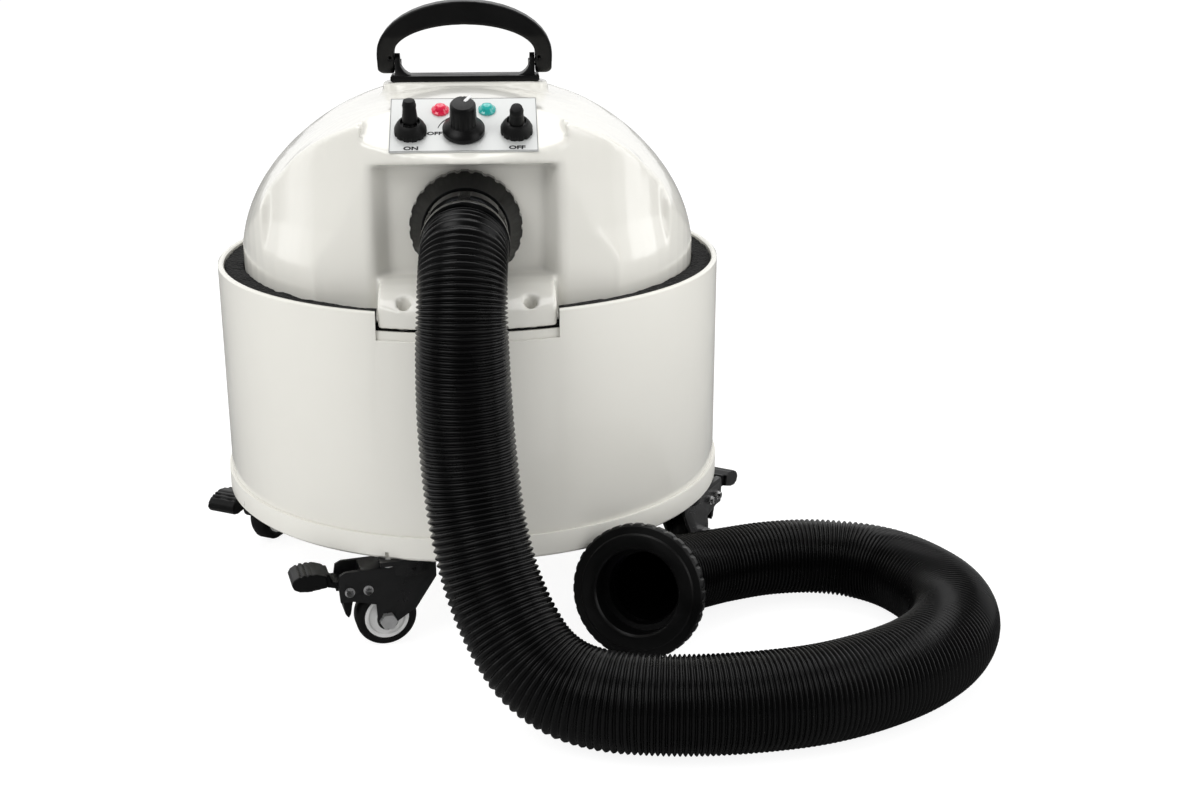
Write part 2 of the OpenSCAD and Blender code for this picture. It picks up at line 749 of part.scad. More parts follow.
module end_cuff() {
    bore = cuff_bore / 2;
    color([0.08, 0.08, 0.08]) translate(cuff_at) rotate([0, 90 - cuff_tilt, cuff_turn])
        difference() {
            rotate_extrude($fn = 96) polygon([
                [bore, -socket_l], [bore, -1.5], [bore + 1.5, 0], [cuff_r - 7, 0], [cuff_r - 6, -1.2],
                [cuff_r - 1.5, -1.2], [cuff_r, -3], [cuff_r, -8], [cuff_r - 2, -9.5],
                [bore + 5, -11.5], [bore + 4.5, -socket_l], [far_r + 3, 4 - cuff_l], [far_r + 2, -cuff_l],
                [far_r - 3, -cuff_l], [far_r - 3, -socket_l]
            ]);
            for (a = [0:35]) rotate(a * 10) translate([cuff_r + 1.2, 0, -9])
                cylinder(r = 2, h = 7, $fn = 16);
        }
}

// ---------- control panel ----------

module control_panel() {
    color("lightgray") on_panel() difference() {
        translate([-panel_w / 2, panel_up, 0]) cube([panel_w, panel_l, panel_t]);
        mirror_x() translate([switch_x, switch_v, -1]) cylinder(r = bush_d / 2 + 0.2, h = 4);
        mirror_x() translate([lamp_x, lamp_v, -1]) cylinder(r = lamp_d / 2 + 0.2, h = 4);
        translate([0, switch_v, -1]) cylinder(r = pot_bush_d / 2 + 0.2, h = 4);
    }
}

module lamp(shade) {
    color(shade) rotate_extrude($fn = 48) polygon([
        [0, -14], [lamp_d / 2, -14], [lamp_d / 2, panel_t], [lamp_cap_d / 2, panel_t],
        [lamp_cap_d / 2, panel_t + 1.2], [lamp_cap_d / 2 - 1, panel_t + 2], [lamp_cap_d / 2 - 2, panel_t + 3.4],
        [lamp_cap_d / 2 - 3.5, panel_t + 4.2], [0, panel_t + 4.6]
    ]);
}

module lamp_red() {
    on_panel() translate([-lamp_x, lamp_v, 0]) lamp("crimson");
}

module lamp_green() {
    on_panel() translate([lamp_x, lamp_v, 0]) lamp("mediumseagreen");
}

bush_up = 7;
pivot_up = 5;
ball_r = 3.4;
stem_r = 4.5;
toggle_pin_r = 1.5;

// Toggle switch under the panel: case and threaded bush with a socket for the lever
module switch_body() {
    color("darkslategray") difference() {
        union() {
            translate([-6.5, -8, -10 - panel_wall]) cube([13, 16, 10]);
            for (y = [-5, 0, 5]) translate([-1, y - 0.4, -13 - panel_wall]) cube([2, 0.8, 3.5]);
            translate([0, 0, -panel_wall - eps]) cylinder(d = bush_d, h = panel_wall + bush_up + eps, $fn = 48);
        }
        translate([0, 0, pivot_up]) sphere(r = ball_r + 0.15, $fn = 48);
        translate([0, 0, pivot_up]) cylinder(r1 = 2.6, r2 = 5.2, h = bush_up - pivot_up + 1, $fn = 48);
        translate([0, 0, pivot_up]) rotate([0, 90, 0])
            cylinder(r = toggle_pin_r + run_fit, h = 2 * ball_r + 2.4, center = true, $fn = 48);
    }
}

// Rubber boot foot with its hexagon nut
module switch_boot() {
    color([0.1, 0.1, 0.1]) difference() {
        rotate_extrude($fn = 64) polygon([
            [bush_d / 2 + 0.1, panel_t], [boot_d / 2, panel_t], [boot_d / 2, panel_t + 3],
            [boot_d / 2 - 1.2, panel_t + 5.5], [boot_d / 2 - 2.6, panel_t + 7.5],
            [bush_d / 2 + 0.1, panel_t + 8.2]
        ]);
        for (a = [0:11]) rotate(a * 30) translate([boot_d / 2 + 0.9, 0, 0])
            cylinder(r = 1.5, h = panel_t + 3.2, $fn = 16);
    }
}

// Lever in its rubber sleeve
module switch_lever() {
    color([0.1, 0.1, 0.1]) {
        sphere(r = ball_r, $fn = 48);
        rotate([0, 90, 0]) cylinder(r = toggle_pin_r, h = 2 * ball_r + 1.8, center = true, $fn = 48);
        cylinder(r = 2.2, h = lever_l - 3, $fn = 32);
        translate([0, 0, bush_up - pivot_up + 2]) rotate_extrude($fn = 48) polygon([
            [0, 0], [stem_r, 0], [stem_r + 0.3, 2], [stem_r - 0.4, 9], [stem_r - 0.2, lever_l - 10],
            [stem_r - 1, lever_l - 7], [0, lever_l - 6.4]
        ]);
    }
}

module switch_left_body() {
    on_panel() translate([-switch_x, switch_v, 0]) switch_body();
}

module switch_right_body() {
    on_panel() translate([switch_x, switch_v, 0]) switch_body();
}

module switch_left_boot() {
    on_panel() translate([-switch_x, switch_v, 0]) switch_boot();
}

module switch_right_boot() {
    on_panel() translate([switch_x, switch_v, 0]) switch_boot();
}

module switch_left_lever() {
    on_panel() translate([-switch_x, switch_v, pivot_up]) rotate([-lever_tilt, 0, 0]) switch_lever();
}

module switch_right_lever() {
    on_panel() translate([switch_x, switch_v, pivot_up]) rotate([lever_tilt, 0, 0]) switch_lever();
}

pot_top = 5;

module speed_pot() {
    color("darkslategray") on_panel() translate([0, switch_v, 0]) difference() {
        union() {
            translate([0, 0, -panel_wall - 9]) cylinder(r = 8, h = 9);
            translate([0, 0, -panel_wall - eps]) cylinder(d = pot_bush_d, h = panel_wall + pot_top + eps);
        }
        translate([0, 0, -panel_wall - 7]) cylinder(r = knob_shaft_d / 2 + run_fit, h = 40);
    }
}

module speed_knob() {
    top = panel_t + knob_h;
    low = panel_t + face_gap;
    color([0.1, 0.1, 0.1]) on_panel() translate([0, switch_v, 0]) difference() {
        union() {
            rotate_extrude($fn = 96) polygon([
                [pot_bush_d / 2 + 0.6, low], [knob_d / 2 - 0.5, low], [knob_d / 2, low + 0.5],
                [knob_d / 2, low + 3], [knob_d / 2 - 2, low + 5], [8.4, low + 6.5], [7.9, top - 1.5],
                [6.8, top], [0, top], [0, pot_top + 0.6], [pot_bush_d / 2 + 0.6, pot_top + 0.6]
            ]);
            translate([0, 0, -panel_wall - 6.7]) cylinder(d = knob_shaft_d, h = panel_wall + 6.7 + pot_top + 2);
        }
        for (a = [0:17]) rotate(a * 20 + 10) translate([8.9, 0, low + 7.5])
            cylinder(r = 0.9, h = knob_h, $fn = 16);
        translate([-0.6, 2, top - 0.6]) cube([1.2, 6, 2]);
    }
}

// ---------- handle ----------

// Foot plate of the handle's bracket, with an ear at each end
module handle_bracket() {
    r = 10;
    inside = ear_gap - ear_t;
    ear_top = handle_pin_h + ear_r;
    sunk = bracket_t - 0.3;
    color([0.08, 0.08, 0.08]) translate([0, -handle_y, handle_z]) difference() {
        union() {
            translate([0, bracket_d / 2, 0]) rotate([90, 0, 0]) linear_extrude(height = bracket_d)
                polygon([
                    [-ear_gap - 2, 0], [ear_gap + 2, 0], [ear_gap + 3, 1], [ear_gap + 3, bracket_t - 0.6],
                    [ear_gap + 2.4, bracket_t], [-ear_gap - 2.4, bracket_t], [-ear_gap - 3, bracket_t - 0.6],
                    [-ear_gap - 3, 1]
                ]);
            intersection() {
                translate([0, bracket_d / 2, 0]) rotate([90, 0, 0]) linear_extrude(height = bracket_d)
                    polygon(concat(
                        [[-ear_gap, ear_top], [-ear_gap, 1], [ear_gap, 1], [ear_gap, ear_top], [inside, ear_top]],
                        [for (a = [360:-15:270]) [inside - r + r * cos(a), sunk + r + r * sin(a)]],
                        [for (a = [270:-15:180]) [-inside + r + r * cos(a), sunk + r + r * sin(a)]],
                        [[-inside, ear_top]]
                    ));
                rotate([90, 0, 90]) linear_extrude(height = handle_w, center = true) hull() {
                    translate([0, handle_pin_h]) circle(r = ear_r);
                    translate([-8, 0]) square([16, bracket_t - 0.8]);
                }
            }
        }
        translate([0, 0, handle_pin_h]) rotate([0, 90, 0])
            cylinder(r = handle_pin_d / 2, h = handle_w, center = true, $fn = 48);
        mirror_x() translate([handle_screw_x, 0, -1]) cylinder(r = screw_core, h = bracket_t + 0.2, $fn = 24);
    }
}

// Arched grip, its two legs hang over the outside of the ears and end in round eyes
module handle_grip() {
    out = handle_w / 2;
    inside = out - leg_t;
    foot = handle_pin_h - leg_foot;
    spring = handle_pin_h + 6.5;
    color([0.08, 0.08, 0.08]) translate([0, -handle_y, handle_z]) difference() {
        intersection() {
            translate([0, grip_depth / 2, 0]) rotate([90, 0, 0]) linear_extrude(height = grip_depth) polygon(concat(
                [[inside, foot], [out - 3, foot], [out, foot + 3]],
                [for (a = [0:9:180]) [out * cos(a), spring + (handle_h - spring) * sin(a)]],
                [[-out, foot + 3], [-out + 3, foot], [-inside, foot]],
                [for (a = [180:-9:0]) [inside * cos(a), spring + (handle_h - grip_t - spring) * sin(a)]]
            ));
            rotate([90, 0, 90]) linear_extrude(height = handle_w + 2, center = true) hull() {
                translate([0, handle_pin_h]) circle(r = leg_foot);
                translate([-grip_depth / 2, handle_pin_h + 18]) square([grip_depth, handle_h]);
            }
        }
        translate([0, 0, handle_pin_h]) rotate([0, 90, 0])
            cylinder(r = handle_pin_d / 2 + run_fit, h = handle_w + 2, center = true, $fn = 48);
        mirror_x() translate([out - 3, 0, handle_pin_h]) rotate([0, 90, 0])
            cylinder(d = pin_head_d + 0.6, h = 10);
        mirror_x() mirror_y() translate([inside + 2.5, 4, handle_pin_h + 3.7]) rotate([-90, 0, 0])
            cylinder(d = 2.3, h = 20, $fn = 24);
    }
}

// Hinge pins and the two screws that hold the bracket down
module handle_pins() {
    screw_seat = vault_z(handle_screw_x + screw_head_d / 2, -handle_y, dome_wall) - handle_z - 0.1;
    color("silver") translate([0, -handle_y, handle_z]) {
        mirror_x() translate([ear_gap - ear_t - 1, 0, handle_pin_h]) rotate([0, 90, 0]) {
            cylinder(d = handle_pin_d, h = handle_w / 2 - 3 + face_gap - ear_gap + ear_t + 1, $fn = 48);
            translate([0, 0, handle_w / 2 - 3 + face_gap - ear_gap + ear_t + 1]) cylinder(d = pin_head_d, h = 2.2);
        }
        mirror_x() translate([handle_screw_x, 0, screw_seat]) rotate([180, 0, 0])
            screw_down(screw_core * 2, bracket_t - 0.8 - screw_seat, screw_head_d, screw_head_h);
    }
}

// ---------- motors and electrics ----------

module motor_places() {
    mirror_x() translate([motor_x, motor_y, 0]) children();
}

bearing_t = 4;
fan_floor = 3;
motor_base = deck_z + gasket_t;

// Fan case below the deck, flange on it, motor body above it
module motor_case() {
    z0 = motor_base - fan_low;
    z1 = motor_base + motor_up;
    bore = shaft_r + run_fit;
    color("slategray") difference() {
        rotate_extrude($fn = 64) polygon([
            [18, z0], [fan_r, z0], [fan_r, motor_base], [motor_flange, motor_base],
            [motor_flange, motor_base + 3], [motor_r, motor_base + 3], [motor_r, z1 - 4], [motor_r - 6, z1],
            [bore, z1], [bore, z1 - bearing_t], [motor_r - motor_wall, z1 - bearing_t - 2],
            [motor_r - motor_wall, motor_base], [bore, motor_base], [bore, motor_base - bearing_t],
            [fan_r - motor_wall, motor_base - bearing_t], [fan_r - motor_wall, z0 + fan_floor], [18, z0 + fan_floor]
        ]);
        for (a = [0:7]) rotate(a * 45) translate([motor_r - 6, -6, motor_base + 8]) cube([12, 12, 22]);
        for (a = [0:5]) rotate(a * 60 + 30) translate([shaft_r + 10, -5, motor_base - bearing_t - 1])
            cube([16, 10, bearing_t + 2]);
    }
}

module motor_rotor() {
    z0 = motor_base - fan_low;
    z1 = motor_base + motor_up;
    color("peru") {
        translate([0, 0, z0 + fan_floor + 3]) cylinder(r = shaft_r, h = z1 - z0 - fan_floor - 3 + 2);
        translate([0, 0, z0 + fan_floor + 8]) cylinder(r = fan_r - motor_wall - 4, h = 2, $fn = 64);
        translate([0, 0, z0 + fan_floor + 26]) cylinder(r = fan_r - motor_wall - 4, h = 2, $fn = 64);
        for (a = [0:8]) rotate(a * 40) translate([12, -1, z0 + fan_floor + 9])
            cube([fan_r - motor_wall - 18, 2, 18]);
        translate([0, 0, motor_base + 8]) cylinder(r = motor_r - motor_wall - 12, h = 24, $fn = 64);
    }
}

module motor_left_case() {
    translate([-motor_x, motor_y, 0]) motor_case();
}

module motor_right_case() {
    translate([motor_x, motor_y, 0]) motor_case();
}

module motor_left_rotor() {
    translate([-motor_x, motor_y, 0]) motor_rotor();
}

module motor_right_rotor() {
    translate([motor_x, motor_y, 0]) motor_rotor();
}

module motor_gaskets() {
    color("black") motor_places() ring_at(deck_z, motor_flange, fan_r + 0.5, gasket_t);
}

board_y = dome_r - 53;
board_w = 84;
board_l = 46;
board_up = 10;
board_t = 1.6;

module board_posts() {
    mirror_x() for (y = [-1, 1]) translate([board_w / 2 - 5, board_y + y * (board_l / 2 - 5), deck_z - 1])
        cylinder(r = 3, h = board_up + 1);
}

module speed_board() {
    color("seagreen") translate([0, board_y, deck_z + board_up]) {
        translate([-board_w / 2, -board_l / 2, 0]) cube([board_w, board_l, board_t]);
        translate([-30, -14, board_t - eps]) cube([22, 6, 24]);
        for (i = [0:5]) translate([-30, -9 + 4 * i, board_t - eps]) cube([22, 2, 20]);
        translate([8, 4, board_t - eps]) cylinder(r = 7, h = 22);
        translate([26, 4, board_t - eps]) cylinder(r = 7, h = 22);
        translate([6, -18, board_t - eps]) cube([28, 10, 12]);
    }
}

module mains_gland() {
    color([0.1, 0.1, 0.1]) translate([0, 0, gland_z]) rotate([-90, 0, 0]) rotate_extrude($fn = 64) polygon([
        [gland_bore, drum_in - 8], [gland_r + 3, drum_in - 8], [gland_r + 3, drum_in - 4],
        [gland_r - run_fit, drum_in - 4], [gland_r - run_fit, drum_r + 0.6], [gland_r + 2, drum_r + 0.6],
        [gland_r + 2, tray_r], [gland_bore + 2, tray_r + 1], [gland_bore, tray_r + 1]
    ]);
}

// ---------- casters ----------

// Child 0 at each swivel, turned to its own heading
module caster_places() {
    for (k = [0:3]) place_caster(k) children();
}

module place_caster(k) {
    rotate(caster_azimuth[k]) translate([caster_r, 0, 0])
        rotate(caster_heading[k] - caster_azimuth[k]) children();
}

module caster_plates() {
    color("dimgray") caster_places() {
        difference() {
            translate([-plate_w / 2, -plate_w / 2, caster_h - plate_t]) cube([plate_w, plate_w, plate_t]);
            for (x = [-1, 1], y = [-1, 1]) translate([x * plate_hole, y * plate_hole, caster_h - plate_t - 1])
                cylinder(r = screw_core + 0.3, h = plate_t + 2, $fn = 24);
        }
        translate([0, 0, crown_top + face_gap])
            cylinder(r = race_r, h = caster_h - plate_t - crown_top - face_gap + eps);
        translate([0, 0, crown_top - crown_t - face_gap - eps])
            cylinder(r = king_r, h = crown_t + 2 * face_gap + 2 * eps);
        translate([0, 0, crown_top - crown_t - face_gap - 3]) cylinder(r = king_r + 2.5, h = 3);
    }
}

module caster_screws() {
    color("silver") caster_places() for (x = [-1, 1], y = [-1, 1])
        translate([x * plate_hole, y * plate_hole, caster_h - plate_t]) rotate([180, 0, 0])
            screw_down(screw_core * 2, plate_t + tray_floor - 0.5, 6.5, 2);
}

// Side view of a fork plate: trailing distance across, height up
module fork_side() {
    difference() {
        union() {
            polygon([
                [-17, crown_top], [-17, crown_top - 10], [-3, wheel_r + 6],
                [trail - 6, wheel_r - 2], [trail + 6.5, wheel_r - 2], [trail + 7, wheel_r + 12],
                [trail + 22, wheel_r + 16], [trail + 30, wheel_r + 16], [trail + 31, brake_pin[1] + 6],
                [trail + 30, crown_top - 2], [trail + 26, crown_top]
            ]);
            translate([trail, wheel_r]) circle(r = 7);
        }
        translate([trail, wheel_r]) circle(r = axle_r + 0.02);
    }
}

module caster_fork() {
    color([0.08, 0.08, 0.08]) difference() {
        union() {
            for (t = [fork_in, -fork_in - fork_t]) translate([0, t + fork_t, 0]) rotate([90, 0, 0])
                linear_extrude(height = fork_t) fork_side();
            translate([-17, -fork_in - eps, crown_top - crown_t])
                cube([trail + 33, 2 * fork_in + 2 * eps, crown_t]);
            translate([0, 0, crown_top - crown_t]) cylinder(r = 15, h = crown_t);
        }
        translate([0, 0, crown_top - crown_t - 1]) cylinder(r = king_r + run_fit, h = crown_t + 2);
        for (p = [brake_pin, stop_pin]) translate([p[0], 0, p[1]]) rotate([90, 0, 0])
            cylinder(d = rivet_d, h = 40, center = true, $fn = 32);
    }
}

// Axle bolt with its nut, brake pivot and stop rivet
module caster_bolts() {
    color("silver") {
        translate([trail, 0, wheel_r]) rotate([90, 0, 0]) {
            cylinder(r = axle_r, h = fork_w + 8, center = true, $fn = 48);
            translate([0, 0, fork_w / 2]) cylinder(r = 5.6, h = 4, $fn = 6);
            translate([0, 0, -fork_w / 2 - 4.5]) cylinder(r = 5.6, h = 4.5, $fn = 6);
        }
        for (p = [brake_pin, stop_pin]) translate([p[0], 0, p[1]]) rotate([90, 0, 0]) {
            cylinder(d = rivet_d, h = fork_w, center = true, $fn = 32);
            for (s = [0, 1]) mirror([0, 0, s]) translate([0, 0, fork_w / 2]) difference() {
                cylinder(d = rivet_d + 1.4, h = 0.8, $fn = 32);
                translate([0, 0, 0.2]) cylinder(d = rivet_d - 2, h = 2, $fn = 32);
            }
        }
    }
}

module caster_tyre() {
    w = wheel_w / 2;
    color([0.07, 0.07, 0.07]) translate([trail, 0, wheel_r]) rotate([90, 0, 0]) rotate_extrude($fn = 96) polygon([
        [hub_r, -w + 0.8], [wheel_r - 4, -w], [wheel_r - 1.5, -w + 1], [wheel_r, -w + 3],
        [wheel_r, w - 3], [wheel_r - 1.5, w - 1], [wheel_r - 4, w], [hub_r, w - 0.8]
    ]);
}

module caster_hub() {
    w = wheel_w / 2;
    color("lightgray") translate([trail, 0, wheel_r]) rotate([90, 0, 0]) rotate_extrude($fn = 96) polygon([
        [axle_r + run_fit, -w - 0.4], [6.5, -w - 0.4], [6.5, -w + 1.2], [hub_r - 3, -w + 1.6],
        [hub_r - 2.4, -w + 0.2],
        [hub_r, -w + 0.2], [hub_r, w - 0.2], [hub_r - 2.4, w - 0.2], [hub_r - 3, w - 1.6], [6.5, w - 1.2],
        [6.5, w + 0.4], [axle_r + run_fit, w + 0.4]
    ]);
}

// Foot pedal: lever between the fork plates, broad pad outside, brake shoe below
module caster_pedal() {
    arm = fork_in - face_gap;
    e = brake_pin[0];
    z = brake_pin[1];
    color([0.08, 0.08, 0.08]) difference() {
        union() {
            translate([0, arm, 0]) rotate([90, 0, 0]) linear_extrude(height = 2 * arm) polygon([
                [e - 5, z - 2], [e - 5, z + 6.5], [e + 10.5, z + 7], [e + 12, z + 13], [e + 15, z + 12.8],
                [e + 20, z + 13], [e + 20, z + 6], [e + 12, z + 3.5], [e + 7, z + 2], [e + 4.5, z - 4],
                [e + 3, z - 17], [e + 1, z - 19.5], [e - 0.7, z - 17], [e - 2, z - 9]
            ]);
            translate([0, fork_w / 2, 0]) rotate([90, 0, 0]) linear_extrude(height = fork_w) polygon([
                [e + 14, z + 5], [e + 14, z + 13], [e + 20, z + 15.2], [e + 26, z + 15.8], [e + 31, z + 15],
                [e + 35, z + 12.6], [e + 36.5, z + 9.6], [e + 35, z + 6], [e + 31, z + 4], [e + 25, z + 3.6]
            ]);
        }
        translate([e, 0, z]) rotate([90, 0, 0])
            cylinder(r = rivet_d / 2 + run_fit, h = 40, center = true, $fn = 32);
        for (i = [0:2]) translate([e + 23 + 3.6 * i, 0, z + 16 - 0.5 * i]) rotate([0, 8, 0])
            cube([1.4, 30, 2.4], center = true);
    }
}

// Turns a pedal down on its rivet, to where the shoe meets the tyre
module pressed() {
    translate([brake_pin[0], 0, brake_pin[1]]) rotate([0, brake_throw, 0])
        translate([-brake_pin[0], 0, -brake_pin[1]]) children();
}

module caster_1_fork() { place_caster(0) caster_fork(); }
module caster_2_fork() { place_caster(1) caster_fork(); }
module caster_3_fork() { place_caster(2) caster_fork(); }
module caster_4_fork() { place_caster(3) caster_fork(); }
module caster_1_bolts() { place_caster(0) caster_bolts(); }
module caster_2_bolts() { place_caster(1) caster_bolts(); }
module caster_3_bolts() { place_caster(2) caster_bolts(); }
module caster_4_bolts() { place_caster(3) caster_bolts(); }
module caster_1_tyre() { place_caster(0) caster_tyre(); }
module caster_2_tyre() { place_caster(1) caster_tyre(); }
module caster_3_tyre() { place_caster(2) caster_tyre(); }
module caster_4_tyre() { place_caster(3) caster_tyre(); }
module caster_1_hub() { place_caster(0) caster_hub(); }
module caster_2_hub() { place_caster(1) caster_hub(); }
module caster_3_hub() { place_caster(2) caster_hub(); }
module caster_4_hub() { place_caster(3) caster_hub(); }
module caster_1_pedal() { place_caster(0) caster_pedal(); }
module caster_2_pedal() { place_caster(1) pressed() caster_pedal(); }
module caster_3_pedal() { place_caster(2) caster_pedal(); }
module caster_4_pedal() { place_caster(3) pressed() caster_pedal(); }

base_tray();
drum_shell();
motor_deck();
foam_filter();
deck_seal();
dome_housing();
housing_screws();
outlet_spigot();
hose_lock_nut();
near_cuff();
near_sleeve();
hose();
end_cuff();
control_panel();
lamp_red();
lamp_green();
switch_left_body();
switch_right_body();
switch_left_boot();
switch_right_boot();
switch_left_lever();
switch_right_lever();
speed_pot();
speed_knob();
handle_bracket();
handle_grip();
handle_pins();
motor_left_case();
motor_right_case();
motor_left_rotor();
motor_right_rotor();
motor_gaskets();
speed_board();
mains_gland();
caster_plates();
caster_screws();
caster_1_fork();
caster_1_bolts();
caster_1_tyre();
caster_1_hub();
caster_1_pedal();
caster_2_fork();
caster_2_bolts();
caster_2_tyre();
caster_2_hub();
caster_2_pedal();
caster_3_fork();
caster_3_bolts();
caster_3_tyre();
caster_3_hub();
caster_3_pedal();
caster_4_fork();
caster_4_bolts();
caster_4_tyre();
caster_4_hub();
caster_4_pedal();
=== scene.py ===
"""Finish for the pet dryer: camera, hose, mouldings, panel print and studio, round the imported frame."""

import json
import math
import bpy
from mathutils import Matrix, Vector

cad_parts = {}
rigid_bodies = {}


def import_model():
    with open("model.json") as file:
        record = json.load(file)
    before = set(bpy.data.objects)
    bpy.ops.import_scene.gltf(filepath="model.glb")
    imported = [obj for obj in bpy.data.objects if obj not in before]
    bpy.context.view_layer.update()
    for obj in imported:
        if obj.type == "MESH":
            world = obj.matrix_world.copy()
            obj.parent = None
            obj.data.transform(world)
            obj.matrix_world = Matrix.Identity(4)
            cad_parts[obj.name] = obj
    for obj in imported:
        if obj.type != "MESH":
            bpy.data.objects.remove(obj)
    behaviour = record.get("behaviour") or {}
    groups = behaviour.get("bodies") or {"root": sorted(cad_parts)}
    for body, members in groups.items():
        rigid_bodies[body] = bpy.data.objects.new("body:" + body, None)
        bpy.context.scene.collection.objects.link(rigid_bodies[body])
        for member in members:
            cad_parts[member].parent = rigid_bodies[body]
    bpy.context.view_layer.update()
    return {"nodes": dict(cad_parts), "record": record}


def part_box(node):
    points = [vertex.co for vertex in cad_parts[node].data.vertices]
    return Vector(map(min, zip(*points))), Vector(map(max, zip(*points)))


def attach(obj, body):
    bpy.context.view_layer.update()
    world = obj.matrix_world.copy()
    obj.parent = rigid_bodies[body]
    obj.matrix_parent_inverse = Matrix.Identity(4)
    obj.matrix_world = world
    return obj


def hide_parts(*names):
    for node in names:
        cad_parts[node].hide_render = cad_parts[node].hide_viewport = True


bl_info = {
    "name": "Pet dryer finish",
    "version": (1, 0, 0),
    "blender": (4, 5, 0),
    "location": "View3D > Sidebar > Pet dryer",
    "description": "Dresses the packed pet dryer: camera, hose, mouldings, panel print and studio",
    "category": "Object",
}

import bmesh
import bpy
import numpy as np
from bpy.props import FloatProperty, FloatVectorProperty, IntProperty, PointerProperty
from bpy.types import Operator, Panel, PropertyGroup
from mathutils import Matrix, Vector, noise

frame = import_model()
NODES = frame["nodes"]
MM = 0.001

# Height of the drum's rim, in metres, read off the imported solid
DRUM_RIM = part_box("drum_shell")[1].z

# The control panel: its lower edge, its slope, and in its own plane the row of controls, the top of the
# plate, half the width of its border, the border's lower and upper edge, and the thickness of ink
PANEL_ORIGIN = Vector((0, -0.145, DRUM_RIM + 0.092))
PANEL_TILT = math.radians(30)
PANEL_FRAME = Matrix.Translation(PANEL_ORIGIN) @ Matrix.Rotation(PANEL_TILT, 4, "X")
CONTROLS_V = 0.021
PLATE_TOP = 0.0012
BORDER_X, BORDER_LOW, BORDER_HIGH, BORDER_W = 0.0453, 0.0027, 0.0543, 0.0004
INK = 0.0001

# Place, turn and focal length of the camera: metres, degrees and millimetres
CAMERA_PLACE, CAMERA_TURN, CAMERA_LENS = (0.0175, -1.1152, 0.4827), (71.744, 0, -3.85), 47.93

# Centre line of the hose with its radius at each point, in millimetres, from the outlet to just inside the
# end cuff
HOSE_ROUTE = [
    (0, -188.4, 273, 26.5), (-0.8, -199.9, 269, 26.5), (-1.7, -211.5, 256, 26.6),
    (-2.3, -219, 235, 27.2), (-2.5, -221.5, 205, 28.2), (-1.5, -224, 170, 29),
    (1.5, -230.5, 134, 29.3), (6, -240, 107, 29.3), (13, -251, 82, 29.3),
    (23, -264, 61, 29.3), (36, -277, 44, 29.3), (54, -288, 33.5, 29.3),
    (76, -297, 29.8, 29.3), (102, -303, 29.6, 29.3), (134, -305.5, 29.6, 29.3),
    (170, -303, 29.6, 29.3), (203, -296.5, 29.6, 29.3), (236, -283, 29.6, 29.3),
    (266, -264, 29.6, 29.3), (290, -239, 29.6, 29.3), (304.5, -209, 29.6, 29.3),
    (307, -177, 29.2, 28.8), (298, -146, 28.6, 28), (283, -121, 28, 27.2),
    (261, -105.5, 28, 26.5), (232, -100, 29, 26), (201, -103, 29.5, 25.7),
    (171, -113, 30, 25.7), (150, -124.5, 31.5, 26.2), (132.5, -138, 34.5, 26.8),
    (120.5, -151.5, 37.6, 27), (112.3, -167.1, 40.7, 27),
]

# Spacing of the hose's ribs along it: distance from the outlet and pitch, in millimetres
RIB_PITCHES = [
    (0, 2.75), (50, 2.85), (90, 3.45), (200, 4.15), (295, 4.2), (345, 2.95), (560, 3.05), (680, 3.7),
    (740, 3.2), (880, 3.2),
]

# Nominal diameter of the hose, how far its skin stays inside its solid, and the roundness of its ribs
HOSE_D, SKIN_INSET, RIB_POWER = 0.058, 0.0002, 1.4

# Most triangles of a moulding
MOST_TRIS = 190000

# Strength of the surroundings: as the camera sees them, as they light the dryer, and as they are mirrored,
# from the side of the camera to the far side
SEEN, SOFT, MIRRORED = 1.02, 0.55, (0.08, 0.95)

# The studio's lamps: name, place, size in metres and power in watts. Each points at AIM
AIM = Vector((0, 0, 0.2))
LAMPS = (
    ("key", (-1.1, -1.3, 1.7), (1.1, 1.1), 14),
    ("fill", (1.5, -1.0, 0.9), (0.9, 1.4), 7),
    ("top", (0.0, 0.3, 2.0), (1.8, 1.4), 17),
    ("left", (-1.9, 0.1, 0.7), (0.7, 1.6), 4),
    ("right", (1.9, 0.1, 0.7), (0.7, 1.6), 7),
)


# ---------- sizes and colours ----------


class DryerSizes(PropertyGroup):
    rib_rings: IntProperty(
        name="Rings per rib", description="Rings of points on each rib of the hose", default=8, min=4, max=12
    )
    rib_depth: FloatProperty(
        name="Rib depth", description="Depth of the grooves between the ribs", default=0.0019, unit="LENGTH"
    )
    hose_sides: IntProperty(
        name="Hose sides", description="Facets round the hose", default=36, min=12, max=64
    )
    text_size: FloatProperty(
        name="Lettering", description="Height of the panel's lettering", default=0.005, unit="LENGTH"
    )


class DryerColours(PropertyGroup):
    shell: FloatVectorProperty(
        name="Shell", description="Glossy off-white of drum and dome", subtype="COLOR",
        default=(0.84, 0.826, 0.765), min=0, max=1,
    )
    black: FloatVectorProperty(
        name="Black", description="Black plastic of hose, handle and knobs", subtype="COLOR",
        default=(0.0025, 0.0025, 0.0026), min=0, max=1,
    )
    plate: FloatVectorProperty(
        name="Plate", description="Satin silver of the control plate", subtype="COLOR",
        default=(0.6, 0.61, 0.6), min=0, max=1,
    )
    red: FloatVectorProperty(
        name="Red lamp", description="Lens of the left lamp", subtype="COLOR",
        default=(0.7, 0.015, 0.06), min=0, max=1,
    )
    green: FloatVectorProperty(
        name="Green lamp", description="Lens of the right lamp", subtype="COLOR",
        default=(0.02, 0.36, 0.33), min=0, max=1,
    )


# ---------- materials ----------


